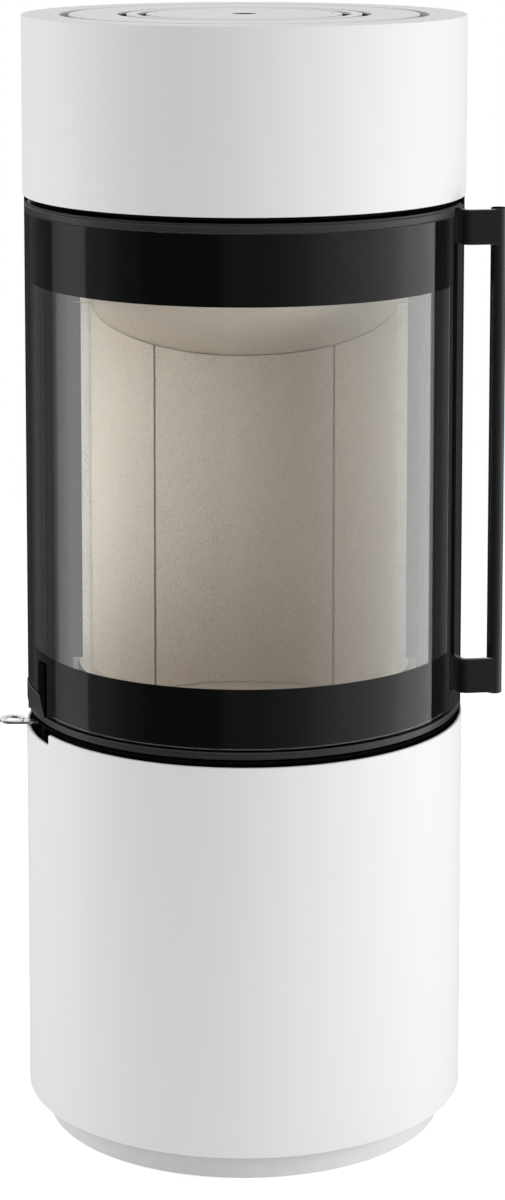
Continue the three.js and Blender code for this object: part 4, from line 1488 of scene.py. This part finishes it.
@dataclass
class Shell:
    """The black band between the casings: two rings, the outer shell and the heat shield.

    Attributes:
        outer: outside of the shell.
        inner: inside of the shell.
        left: bearing of the shell's edge beside the handle.
        right: bearing of its edge beside the hinge, past the back.
        ring_outer: outside of the rings.
        hearth_inner: inside of the ring under the door.
        collar: outside of the crown ring's collar.
        sheet: thickness of the rings.
        shield_outer: outside of the heat shield.
        shield_sheet: its thickness.
        shield_half: half the angle that it spans.
    """

    outer: float = 233.4
    inner: float = 231.4
    left: float = 82.0
    right: float = 272.7
    ring_outer: float = 230.7
    hearth_inner: float = 190.4
    collar: float = 153.0
    sheet: float = 3.0
    shield_outer: float = 222.0
    shield_sheet: float = 1.5
    shield_half: float = 78.0

    def make(self) -> None:
        """Builds and dresses the band."""
        low, high = levels("hearth_ring")
        hearth = rounded(
            [
                (self.hearth_inner, low, 0.4),
                (self.ring_outer, low, 0.4),
                (self.ring_outer, high, 0.6),
                (self.hearth_inner, high, 0.4),
            ]
        )
        low, high = levels("crown_ring")
        inner = self.collar - self.sheet
        crown = rounded(
            [
                (inner, low, 0.4),
                (self.collar, low, 0.4),
                (self.collar, high - self.sheet, 1.0),
                (self.ring_outer, high - self.sheet, 0.6),
                (self.ring_outer, high, 0.6),
                (inner, high, 1.2),
            ]
        )
        # Both rings take the black paint darkened as painted shade: they are black parts, and their extra
        # darkness stands for the shade in the recesses between the casings and the door's rails.
        for name, profile in (("hearth_ring", hearth), ("crown_ring", crown)):
            made = build(f"black_{name}", [turned(profile)])
            shaded(made)
            settle(made, BLACK_AND_PAINTED_SHADE, Body.STOVE, [name])
        low, high = levels("outer_shell")
        shell = build(
            "black_shell", [arc(self.inner, self.outer, low, high, self.left, self.right, 0.7)]
        )
        shaded(shell)
        settle(shell, BLACK_PAINT, Body.STOVE, ["outer_shell"])
        low, high = levels("rear_heat_shield")
        ends = 180 - self.shield_half, 180 + self.shield_half
        thin = self.shield_outer - self.shield_sheet
        shield = build("heat_shield", [arc(thin, self.shield_outer, low, high, *ends, 0.3)])
        shaded(shield)
        settle(shield, RAW_STEEL, Body.STOVE, ["rear_heat_shield"])


# ---------------------------------------------------------------- top


@dataclass
class Top:
    """The upper white casing, the plates of the top, and the smoke dome with its outlets.

    Attributes:
        radius: outside of the casing.
        sheet: thickness of the sheets.
        edge: rounding of the casing's edges.
        rim_inner: inside of the rim.
        lip_outer: outside of the lip that is turned down.
        lip: how deep the lip is.
        cover: inner and outer radius of the cover ring.
        middle: inner and outer radius of the middle ring.
        lid_radius: outside of the lid.
        finger_hole: radius of the hole in it.
        flue_hole: radius of the casing's hole for the flue collar.
        flue_radius: outside of the flue collar.
        rivet_circle: how far the two rivets of the lid lie from its middle.
        rivet_radius: radius of a rivet.
    """

    radius: float = 235.0
    sheet: float = 3.0
    edge: float = 1.2
    rim_inner: float = 195.0
    lip_outer: float = 197.0
    lip: float = 7.0
    cover: tuple[float, float] = (134.0, 185.0)
    middle: tuple[float, float] = (113.0, 124.4)
    lid_radius: float = 103.4
    finger_hole: float = 13.0
    flue_hole: float = 78.0
    flue_radius: float = 75.0
    rivet_circle: float = 93.0
    rivet_radius: float = 1.4

    def casing(self) -> bpy.types.Object:
        """Wall, rim and turned-down lip as one turned profile, with the flue's hole at the back.

        Returns:
            The object.
        """
        low, high = levels("top_casing")
        inner = self.radius - self.sheet
        under = high - self.sheet
        profile = rounded(
            [
                (inner, low, 0.5),
                (self.radius, low, self.edge),
                (self.radius, high, self.edge),
                (self.rim_inner, high, 1.0),
                (self.rim_inner, high - self.lip, 0.4),
                (self.lip_outer, high - self.lip, 0.4),
                (self.lip_outer, under, 0.5),
                (inner, under, 0.8),
            ]
        )
        made = build("upper_casing", [turned(profile, 240)])
        flue_low, flue_high = levels("flue_collar")
        hole = rounded(
            [(0.0, 200.0), (self.flue_hole, 200.0), (self.flue_hole, 260.0), (0.0, 260.0)]
        )
        pierce(made, turned_level(hole, (flue_low + flue_high) / 2))
        shaded(made)
        return made

    def plates(self) -> None:
        """Cover ring, middle ring and lid, with a rounding on their upper edges and painted shade on the wall of
        the lid's finger hole.
        """
        for node, body, (inner, outer) in (
            ("top_cover_ring", Body.STOVE, self.cover),
            ("top_middle_ring", Body.STOVE, self.middle),
            ("lid", Body.LID, (self.finger_hole, self.lid_radius)),
        ):
            low, high = levels(node)
            profile = rounded(
                [(inner, low, 0.4), (outer, low, 0.4), (outer, high, 0.9), (inner, high, 0.9)]
            )
            made = build(f"white_{node}", [turned(profile, 192)])
            normals, centres = facing(made)
            # The wall of the lid's finger hole takes the darkened black paint instead of the white: painted
            # shade inside the hole.
            bore_in_shade = np.linalg.norm(centres[:, :2], axis=1) < (self.finger_hole + 0.3) * MM
            inlaid(made, WHITE_PAINT, BLACK_AND_PAINTED_SHADE, bore_in_shade & (normals[:, 2] < 0.5))
            shaded(made)
            settle(made, WHITE_PAINT, body, [node])
        high = levels("lid")[1]
        rivets = build(
            "lid_rivets",
            [
                slab(circle(self.rivet_radius, (side * self.rivet_circle, 0.0), 20), high - 2.0, high + 0.2, 0.2)
                for side in (-1, 1)
            ],
        )
        shaded(rivets)
        settle(rivets, DARK_PIN, Body.LID)

    def collar(self) -> bpy.types.Object:
        """The flue collar with a rolled end, turned about its level axis.

        Returns:
            The object.
        """
        front, back = depths("flue_collar")
        low, high = levels("flue_collar")
        wall = self.sheet
        profile = rounded(
            [
                (self.flue_radius - wall, front + 2.0, 0.3),
                (self.flue_radius, front + 2.0, 0.3),
                (self.flue_radius, back, 1.3),
                (self.flue_radius - wall, back, 1.3),
            ]
        )
        made = build("flue_socket", [turned_level(profile, (low + high) / 2, 120)])
        shaded(made)
        return made

    def make(self) -> None:
        """Builds and dresses the top."""
        settle(self.casing(), WHITE_PAINT, Body.STOVE, ["top_casing"])
        self.plates()
        settle(self.collar(), BLACK_PAINT, Body.STOVE, ["flue_collar"])
        spider = refined("top_spider", "plate_carrier", 0.5)
        shaded(spider)
        settle(spider, BLACK_PAINT, Body.STOVE, ["top_spider"])
        dress_solid("smoke_dome", BLACK_PAINT)
        dress_solid("top_outlet_plug", BLACK_PAINT)


# ---------------------------------------------------------------- door


@dataclass
class Door:
    """Curved glass with its print, rails, stiles, seals, gasket, hinge and catch.

    Attributes:
        rail_outer: face of the rails.
        inner: back of the rails and stiles.
        sheet: thickness of the door's sheet.
        left: bearing of the hinge side.
        right: bearing of the handle side.
        rebate: how far the rails' outer edges are set back along the gaps.
        leg: height of the rails' legs behind the glass.
        leg_left: left end of the legs.
        leg_right: right end of the legs.
        pin: centre of the hinge in plan.
        lug: radius of the hinge lugs.
        glass_inner: coated face of the glass.
        glass_outer: outer face of the glass.
        glass_left: left edge of the glass.
        glass_right: right edge of the glass.
        print_top: height of the printed band above.
        print_bottom: height of the printed band below.
        print_side: width in degrees of the printed border beside the hinge.
        groove: bearing where the strip beyond the groove starts.
        cover: radii of the corner cover.
        cover_right: its right end.
        cover_height: its height.
        cover_lean: degrees by which its right edge leans.
        tongue: bearings of its tongue.
    """

    rail_outer: float = 233.4
    inner: float = 220.0
    sheet: float = 3.0
    left: float = -85.3
    right: float = 80.5
    rebate: float = 2.3
    leg: float = 30.0
    leg_left: float = -77.3
    leg_right: float = 65.8
    pin: tuple[float, float] = (-224.315, -27.542)
    lug: float = 7.2
    glass_inner: float = 228.2
    glass_outer: float = 232.2
    glass_left: float = -85.0
    glass_right: float = 69.3
    print_top: float = 74.2
    print_bottom: float = 62.7
    print_side: float = 7.0
    groove: float = 73.2
    cover: tuple[float, float] = (232.9, 234.3)
    cover_right: float = -64.0
    cover_height: float = 21.0
    cover_lean: float = 3.6
    tongue: tuple[float, float] = (-68.4, -64.0)

    def glass(self) -> bpy.types.Object:
        """The bent pane, whose inner face has its own finish.

        Returns:
            The object.
        """
        low, high = levels("door_glass")
        pane = arc(
            self.glass_inner,
            self.glass_outer,
            low,
            high,
            self.glass_left,
            self.glass_right,
            0.7,
            1.0,
        )
        made = build("door_pane", [pane])
        normals, centres = facing(made)
        outward = (normals[:, :2] * centres[:, :2]).sum(1)
        outward /= np.linalg.norm(centres[:, :2], axis=1)
        inlaid(made, GLASS_FACE, GLASS_COATED, outward < -0.5)
        shaded(made)
        return made

    def prints(self) -> bpy.types.Object:
        """The black borders fired on the back of the glass, above, below and beside the hinge.

        Returns:
            The object.
        """
        low, high = levels("door_glass")
        inner = self.glass_inner + 0.08
        outer = inner + 0.35
        left, right = self.glass_left + 0.2, self.glass_right - 0.2
        top, bottom = high - self.print_top, low + self.print_bottom
        side = self.glass_left + self.print_side
        made = build(
            "glass_print",
            [
                arc(inner, outer, top, high - 0.8, left, right, 0.1, 1.0),
                arc(inner, outer, low + 0.8, bottom, left, right, 0.1, 1.0),
                arc(inner, outer, bottom - 0.5, top + 0.5, left, side, 0.1, 1.0),
            ],
        )
        shaded(made)
        return made

    def rail(self, node: str, name: str, legs_up: bool) -> bpy.types.Object:
        """A rail: its band, the leg behind the glass and the hinge lug.

        Args:
            node: the solid that it stands for.
            name: name of the piece.
            legs_up: the leg rises from the band, as on the lower rail.

        Returns:
            The object.
        """
        low, high = levels(node)
        band = (low, high - self.leg) if legs_up else (low + self.leg, high)
        leg = (band[1] - 1.0, high) if legs_up else (low, band[0] + 1.0)
        face = (low + self.rebate, band[1]) if legs_up else (band[0], high - self.rebate)
        back = self.rail_outer - self.rebate
        made = build(
            name,
            [
                arc(self.inner, self.rail_outer, *face, self.left, self.right, 0.9, 1.0),
                arc(self.inner, back, *band, self.left, self.right, 0.5, 1.0),
                arc(self.inner, self.inner + self.sheet, *leg, self.leg_left, self.leg_right, 0.5),
                slab(circle(self.lug, self.pin), band[0] + 0.02, band[1] - 0.02, 0.6),
            ],
        )
        shaded(made)
        return made

    def stiles(self) -> None:
        """Upright strips: one behind the hinge side, one with the groove for the brackets."""
        low, high = levels("hinge_stile")
        hinge = build("left_stile", [arc(self.inner, 227.5, low, high, self.left, -77.5, 0.6)])
        low, high = levels("handle_stile")
        handle = build(
            "right_stile",
            [
                arc(self.inner, 227.5, low, high, 66.0, self.right, 0.6),
                arc(self.inner + 0.1, self.rail_outer - 0.6, low, high, self.groove, self.right, 0.7),
                arc(self.inner + 0.2, self.glass_outer, low, low + 22.0, 69.5, self.right, 0.5),
            ],
        )
        for made, node in ((hinge, "hinge_stile"), (handle, "handle_stile")):
            shaded(made)
            settle(made, BLACK_PAINT, Body.DOOR, [node])

    def seals(self) -> None:
        """The two ropes that bed the glass."""
        for node in ("glass_seal_top", "glass_seal_bottom"):
            low, high = levels(node)
            made = build(
                node.replace("glass_seal", "bedding_rope"),
                [arc(223.3, 227.5, low, high, self.leg_left, self.leg_right, 2.0, 1.0)],
            )
            shaded(made, 60.0)
            settle(made, ROPE, Body.DOOR, [node])

    def gasket(self) -> bpy.types.Object:
        """The rope that the door shuts on, laid in a loop with rounded corners.

        The loop is a rounded rectangle on a cylinder. Its section is an ellipse whose size swells
        by a tenth with the cosine of three times the turn less the length along the loop over its
        pitch, so three strands wind round it.

        Returns:
            The object.
        """
        low, high = levels("door_gasket")
        wide, thick = 4.4, 2.45
        radius = 216.75
        span = math.radians(1) * radius
        left, right = -78.75 * span, 75.75 * span
        corners = [
            (left, low + wide, 12.0),
            (right, low + wide, 12.0),
            (right, high - wide, 12.0),
            (left, high - wide, 12.0),
        ]
        loop = rounded(corners, 12)
        lengths = np.linalg.norm(np.roll(loop, -1, 0) - loop, axis=1)
        run = np.concatenate([[0.0], np.cumsum(lengths)])
        shut = np.vstack([loop, loop[:1]])
        count = 1500
        at = np.linspace(0, run[-1], count, endpoint=False)
        line = np.stack([np.interp(at, run, shut[:, axis]) for axis in (0, 1)], axis=1)
        ahead = np.roll(line, -1, 0) - np.roll(line, 1, 0)
        ahead /= np.linalg.norm(ahead, axis=1, keepdims=True)
        across = np.stack([ahead[:, 1], -ahead[:, 0]], axis=1)
        turn = np.linspace(0, 2 * math.pi, 18, endpoint=False)[None]
        windings = round(run[-1] / 14.0)
        phase = 2 * math.pi * windings * (at / run[-1])[:, None]
        swell = 1 - 0.06 + 0.06 * np.cos(3 * turn - phase)
        aside = across[:, None] * (wide * swell * np.cos(turn))[..., None]
        place = line[:, None] + aside
        out = radius + thick * swell * np.sin(turn)
        points = around(out, place[..., 0] / span, place[..., 1])
        made = build("door_rope", [Patch(points, wrap_rows=True)])
        shaded(made, 70.0)
        return made

    def corner(self) -> bpy.types.Object:
        """The thin cover at the foot of the hinge side, whose right edge leans outward.

        The cover is an arc whose bearings are squeezed towards its left end as it rises: the share
        of the way up times the lean is taken off in proportion to the way along.

        Returns:
            The object.
        """
        low = levels("corner_cover")[0]
        high = low + self.cover_height
        inner, outer = self.cover
        patch = arc(inner, outer, low, high, self.left, self.cover_right, 0.6, 1.0)
        bearing = np.degrees(np.arctan2(patch.points[..., 0], -patch.points[..., 1]))
        radius = np.hypot(patch.points[..., 0], patch.points[..., 1])
        height = patch.points[..., 2]
        along = (bearing - self.left) / (self.cover_right - self.left)
        up = (height - low) / (high - low)
        patch.points = around(radius, bearing - along * up * self.cover_lean, height)
        made = build("hinge_cover", [patch])
        shaded(made)
        return made

    def tab(self) -> bpy.types.Object:
        """The upright black tongue that the cover's leaning edge lies on.

        Returns:
            The object.
        """
        low, high = levels("corner_cover")
        inner, outer = self.cover
        made = build(
            "hinge_tongue", [arc(inner, outer - 0.5, low + 0.2, high, *self.tongue, 0.4, 1.0)]
        )
        shaded(made)
        return made

    def hinge(self) -> None:
        """The two hinge pins with their chamfered ends, and the washer under the lower lug."""
        for node, name in (("hinge_pin_top", "upper_pin"), ("hinge_pin_bottom", "lower_pin")):
            low, high = levels(node)
            made = build(name, [slab(circle(3.5, self.pin), low, high, 0.7)])
            shaded(made)
            settle(made, STAINLESS, Body(body_of(frame["nodes"][node])[0]), [node])
        washer = refined("hinge_washer", "lug_washer", 0.2)
        shaded(washer)
        body = Body(body_of(frame["nodes"]["hinge_washer"])[0])
        settle(washer, STAINLESS, body, ["hinge_washer"])

    def make(self) -> None:
        """Builds and dresses the door."""
        settle(self.glass(), GLASS_FACE, Body.DOOR, ["door_glass"])
        settle(self.prints(), PRINT, Body.DOOR)
        lower = self.rail("door_bottom_rail", "lower_rail", True)
        upper = self.rail("door_top_rail", "upper_rail", False)
        settle(lower, RAIL_PAINT, Body.DOOR, ["door_bottom_rail"])
        settle(upper, RAIL_PAINT, Body.DOOR, ["door_top_rail"])
        self.stiles()
        self.seals()
        settle(self.gasket(), ROPE, Body.DOOR, ["door_gasket"])
        settle(self.corner(), RAIL_PAINT, Body.DOOR, ["corner_cover"])
        settle(self.tab(), BLACK_AND_PAINTED_SHADE, Body.DOOR)
        self.hinge()
        stud = refined("catch_stud", "catch_nose", 0.6)
        shaded(stud)
        settle(stud, STAINLESS, Body.DOOR, ["catch_stud"])


# ---------------------------------------------------------------- handle


@dataclass
class Handle:
    """The upright bar and the two brackets bent from flat bar that carry it.

    Attributes:
        bar: centre of the bar in plan.
        radius: radius of the bar.
        bevel: rounding of the bar's ends.
        root_radius: how far out a bracket starts.
        root_bearing: where in the groove it starts.
        leg: length of its leg.
        leg_bearing: where the leg points.
        ahead: how far its arm's middle lies before the bar's centre.
        thickness: thickness of the flat bar.
        bend: inner radius of the bend.
        edge: rounding of the flat bar's edges.
        under_rail: level that the upper bracket's root stays below.
    """

    bar: tuple[float, float] = (262.7, -92.5)
    radius: float = 8.0
    bevel: float = 1.0
    root_radius: float = 228.2
    root_bearing: float = 71.7
    leg: float = 33.0
    leg_bearing: float = 21.2
    ahead: float = 5.0
    thickness: float = 6.0
    bend: float = 4.0
    edge: float = 0.8
    under_rail: float = 987.2

    def rod(self) -> bpy.types.Object:
        """The bar, a turned profile moved to its place, with painted shade on its two ends.

        Returns:
            The object.
        """
        low, high = levels("handle_bar")
        profile = rounded(
            [(0.0, low), (self.radius, low, self.bevel), (self.radius, high, self.bevel), (0.0, high)]
        )
        patch = turned(profile, 64, closed=False)
        patch.points = patch.points + np.array([*self.bar, 0.0])
        made = build("grip_bar", [patch])
        # Faces that look up or down, the ends and their roundings, take the darkened black paint: painted shade,
        # so the ends read as dark edges.
        inlaid(made, SATIN_BLACK, BLACK_AND_PAINTED_SHADE, np.abs(facing(made)[0][:, 2]) > 0.5)
        shaded(made)
        return made

    def bracket(self, node: str, name: str) -> bpy.types.Object:
        """A bracket: a rounded rectangle carried along a bent line in plan, up to the bar.

        The last section's points run on along the arm until they are as far from the bar's axis as
        its surface.

        Args:
            node: the solid that it stands for.
            name: name of the piece.

        Returns:
            The object.
        """
        low, high = levels(node)
        root = on_bearing(self.root_radius, self.root_bearing)
        bend = root + on_bearing(self.leg, self.leg_bearing)
        end = np.array([self.bar[0] - 10.0, 0.0])
        aim = np.array([self.bar[0], self.bar[1] - self.ahead])
        end = bend + (aim - bend) * (end[0] - bend[0]) / (aim[0] - bend[0])
        corners = [(*root,), (*bend, self.bend + self.thickness / 2), (*end,)]
        line = self._open_line(corners)
        ahead = np.gradient(line, axis=0)
        ahead /= np.linalg.norm(ahead, axis=1, keepdims=True)
        across = np.stack([ahead[:, 1], -ahead[:, 0]], axis=1)
        half = self.thickness / 2
        section = rounded(
            [
                (half, low, self.edge),
                (half, high, self.edge),
                (-half, high, self.edge),
                (-half, low, self.edge),
            ],
            4,
        )
        plan = line[:, None] + across[:, None] * section[None, :, :1]
        height = np.broadcast_to(section[None, :, 1], plan.shape[:2]).copy()
        if high > self.under_rail:
            close = np.linalg.norm(line, axis=1) < 235.5
            height[close] = np.minimum(height[close], self.under_rail)
        plan[-1] = self._on_bar(plan[-1], ahead[-1])
        points = np.concatenate([plan, height[..., None]], axis=2)
        made = build(name, [Patch(points, capped=True)])
        shaded(made)
        return made

    @staticmethod
    def _open_line(corners: Sequence[Corner]) -> Array:
        """The rounded line through three corners, with close points near its start.

        Args:
            corners: start, bend with its radius, and end.

        Returns:
            The points in order.
        """
        start, end = np.array(corners[0][:2]), np.array(corners[2][:2])
        arc_points = rounded(corners, 10)
        arc_points = arc_points[
            (np.linalg.norm(arc_points - start, axis=1) > 1e-6)
            & (np.linalg.norm(arc_points - end, axis=1) > 1e-6)
        ]
        lead = start + (arc_points[0] - start) * np.linspace(0, 1, 60, endpoint=False)[:, None]
        return np.vstack([lead, arc_points, end[None]])

    def _on_bar(self, plan: Array, along: Array) -> Array:
        """Moves points along a direction until they lie on the bar's surface.

        Args:
            plan: points in plan.
            along: unit direction.

        Returns:
            The moved points.
        """
        away = plan - np.array(self.bar)
        lead = away @ along
        beside = (away**2).sum(1) - lead**2
        reach = np.sqrt(np.maximum((self.radius - 0.3) ** 2 - beside, 0.01))
        return plan + along[None] * (-lead - reach)[:, None]

    def make(self) -> None:
        """Builds and dresses the handle, which the photograph's glass doesn't mirror."""
        parts = [(self.rod(), "handle_bar")]
        for node, name in (
            ("handle_bracket_bottom", "lower_bracket"),
            ("handle_bracket_top", "upper_bracket"),
        ):
            parts.append((self.bracket(node, name), node))
        for made, node in parts:
            made.visible_glossy = False
            settle(made, SATIN_BLACK, Body.DOOR, [node])


# ---------------------------------------------------------------- studio


@dataclass
class Lamp:
    """A soft lamp that lights the scene and isn't seen itself.

    Attributes:
        name: its name.
        place: where it stands, in metres.
        aim: what it faces, in metres.
        size: width and height in metres.
        power: its power in watts.
        spread: angle of its beam in degrees.
    """

    name: str
    place: tuple[float, float, float]
    aim: tuple[float, float, float]
    size: tuple[float, float]
    power: float
    spread: float = 180.0

    def make(self) -> None:
        """Sets the lamp up."""
        light = bpy.data.lights.new(self.name, "AREA")
        light.shape = "RECTANGLE"
        light.size, light.size_y = self.size
        light.energy = self.power
        light.spread = math.radians(self.spread)
        made = bpy.data.objects.new(self.name, light)
        bpy.context.scene.collection.objects.link(made)
        made.location = self.place
        ahead = Vector(self.aim) - Vector(self.place)
        made.rotation_euler = ahead.to_track_quat("-Z", "Y").to_euler()
        made.visible_camera = False
        made.visible_glossy = False
        made.visible_transmission = False


@dataclass
class Studio:
    """Pale floor, white surroundings, soft lamps, the panels that gloss shows, and the camera.

    Attributes:
        ambient: strength of the white surroundings on matte surfaces.
        floor_radius: radius of the floor in metres.
        wall_radius: radius of the panels' ring in metres.
        wall_height: lowest and highest level of the panels in metres.
        panels: brightness that gloss shows, by bearing.
        lamps: the lamps.
        camera_place: the camera's place in metres.
        camera_pitch: degrees that it looks down.
        lens: its focal length.
        shift: how far the picture is shifted.
    """

    ambient: float = 0.55
    floor_radius: float = 4.0
    wall_radius: float = 7.0
    wall_height: tuple[float, float] = (-5.0, 1.5)
    panels: tuple[tuple[float, float], ...] = (
        (-180.0, 0.04),
        (-155.0, 0.04),
        (-148.0, 0.11),
        (-118.5, 0.10),
        (-117.0, 0.45),
        (-103.0, 0.90),
        (-89.5, 0.97),
        (-88.5, 0.33),
        (-75.0, 0.27),
        (-65.0, 0.13),
        (-55.0, 0.09),
        (-50.0, 0.053),
        (-14.0, 0.053),
        (-9.0, 0.13),
        (9.0, 0.14),
        (29.0, 0.27),
        (51.0, 0.60),
        (65.0, 0.80),
        (81.0, 1.15),
        (93.0, 1.75),
        (115.3, 1.90),
        (116.0, 0.06),
        (130.0, 0.06),
        (131.0, 0.11),
        (143.0, 0.10),
        (148.0, 0.08),
        (158.0, 0.06),
        (180.0, 0.04),
    )
    lamps: tuple[Lamp, ...] = field(
        default_factory=lambda: (
            Lamp("right lamp", (2.82, -1.03, 0.85), (0.0, 0.0, 0.7), (1.8, 2.4), 44.0),
            Lamp("left lamp", (-2.95, 0.52, 0.85), (0.0, 0.0, 0.7), (1.6, 2.4), 36.0),
            Lamp("upper lamp", (0.0, -0.2, 3.2), (0.0, 0.0, 1.19), (1.8, 1.8), 6.5),
            Lamp("firebox lamp", (0.170, -0.075, 0.71), (-0.16, 0.03, 0.67), (0.03, 0.34), 0.32, 100.0),
            Lamp("left edge lamp", (-0.169, -0.10, 0.69), (-0.169, 0.0, 0.69), (0.01, 0.40), 0.024, 60.0),
            Lamp("right edge lamp", (0.169, -0.10, 0.69), (0.169, 0.0, 0.69), (0.01, 0.40), 0.008, 60.0),
        )
    )
    camera_place: tuple[float, float, float] = (0.0, -3.350, 1.376)
    camera_pitch: float = 7.3013
    lens: float = 95.30
    shift: tuple[float, float] = (0.00686, -0.296)

    def floor(self) -> None:
        """A white disc that fades into the surroundings away from the stove."""
        reach = np.concatenate([[0.0], np.linspace(0.05, 1.0, 24)]) * self.floor_radius / MM
        profile = np.stack([reach, np.zeros_like(reach)], axis=1)
        made = build("studio_floor", [turned(profile, 96, closed=False)])
        material = bpy.data.materials.new("studio floor")
        material.use_nodes = True
        graph = Graph(material.node_tree)
        away = graph.node("ShaderNodeVectorMath", {"operation": "LENGTH"}, {0: graph.place()})
        share = graph.steps(
            Signal(graph, away.outputs["Value"]) / self.floor_radius, [(0.28, 0.0), (0.72, 1.0)]
        )
        path = graph.node("ShaderNodeLightPath")
        seen = Signal(graph, path.outputs["Is Camera Ray"])
        seen = seen.larger(Signal(graph, path.outputs["Is Glossy Ray"]))
        seen = seen.larger(Signal(graph, path.outputs["Is Transmission Ray"]))
        speckle = graph.noise(40.0, 3.0)
        matte = graph.principled(
            {
                "Base Color": graph.blend((0.9, 0.9, 0.9), (0.93, 0.93, 0.93), speckle),
                "Roughness": 0.9,
                "Specular IOR Level": 0.1,
                "Emission Color": graph.blend((0.17, 0.17, 0.17), (0.60, 0.60, 0.60), seen),
                "Emission Strength": 1.0,
            }
        )
        clear = graph.node("ShaderNodeBsdfTransparent").outputs[0]
        graph.surface(graph.node("ShaderNodeMixShader", {}, {0: share, 1: matte, 2: clear}).outputs[0])
        made.data.materials.append(material)
        made.visible_glossy = False

    def world(self) -> None:
        """White surroundings: full strength where they are seen, less as light on matte surfaces."""
        world = bpy.data.worlds.new("white surroundings")
        world.use_nodes = True
        bpy.context.scene.world = world
        graph = Graph(world.node_tree)
        path = graph.node("ShaderNodeLightPath")
        seen = Signal(graph, path.outputs["Is Camera Ray"])
        seen = seen.larger(Signal(graph, path.outputs["Is Glossy Ray"]))
        seen = seen.larger(Signal(graph, path.outputs["Is Transmission Ray"]))
        strength = self.ambient + seen * (1 - self.ambient)
        light = graph.node(
            "ShaderNodeBackground", {}, {"Color": (1.0, 1.0, 1.0, 1.0), "Strength": strength}
        )
        graph.surface(light.outputs[0], "World")

    def wall(self) -> None:
        """A ring of bright and dark panels that only gloss sees.

        Brightness is a curve of straight pieces over the bearing, which is the angle whose sine
        goes with x and whose cosine goes with minus y.
        """
        bearing = np.linspace(-180, 180, 145)[:, None]
        height = np.array(self.wall_height)[None] / MM
        points = around(np.full_like(height, self.wall_radius / MM), bearing, height)
        made = build("studio_panels", [Patch(points, wrap_columns=False)])
        material = bpy.data.materials.new("studio panels")
        material.use_nodes = True
        graph = Graph(material.node_tree)
        axes = graph.node("ShaderNodeSeparateXYZ", {}, {0: graph.place()})
        ahead = Signal(graph, axes.outputs["Y"]) * -1.0
        turn = Signal(graph, axes.outputs["X"]).bearing_to(ahead) / (2 * math.pi) + 0.5
        brightest = max(level for _, level in self.panels)
        stops = [(bearing / 360 + 0.5, level / brightest) for bearing, level in self.panels]
        glow = graph.steps(turn, stops)
        light = graph.node(
            "ShaderNodeEmission",
            {},
            {"Color": (1.0, 1.0, 1.0, 1.0), "Strength": glow * brightest},
        )
        graph.surface(light.outputs[0])
        made.data.materials.append(material)
        made.visible_camera = False
        made.visible_diffuse = False
        made.visible_transmission = False
        made.visible_volume_scatter = False
        made.visible_shadow = False

    def camera(self) -> None:
        """The camera at the photograph's place."""
        data = bpy.data.cameras.new("camera")
        data.sensor_width = 36.0
        data.lens = self.lens
        data.shift_x, data.shift_y = self.shift
        data.clip_start, data.clip_end = 0.05, 60.0
        made = bpy.data.objects.new("camera", data)
        made.location = self.camera_place
        made.rotation_euler = (math.radians(90 - self.camera_pitch), 0.0, 0.0)
        bpy.context.scene.collection.objects.link(made)
        bpy.context.scene.camera = made

    def make(self) -> None:
        """Sets the studio up."""
        self.floor()
        self.world()
        self.wall()
        self.camera()
        for lamp in self.lamps:
            lamp.make()
        bpy.context.scene.view_settings.view_transform = "Standard"


def corners(box: tuple[Vector, Vector]) -> list[list[float]]:
    """A box as plain lists of numbers."""
    return [list(box[0]), list(box[1])]


def main() -> None:
    """Builds the stove and its studio."""
    logging.basicConfig(level=logging.INFO, format="%(name)s: %(message)s")
    for assembly in (Base(), AirControl(), Firebox(), Shell(), Top(), Door(), Handle(), Studio()):
        LOG.info("-- %s", type(assembly).__name__)
        assembly.make()
    bpy.context.view_layer.update()


if __name__ == "__main__":
    main()
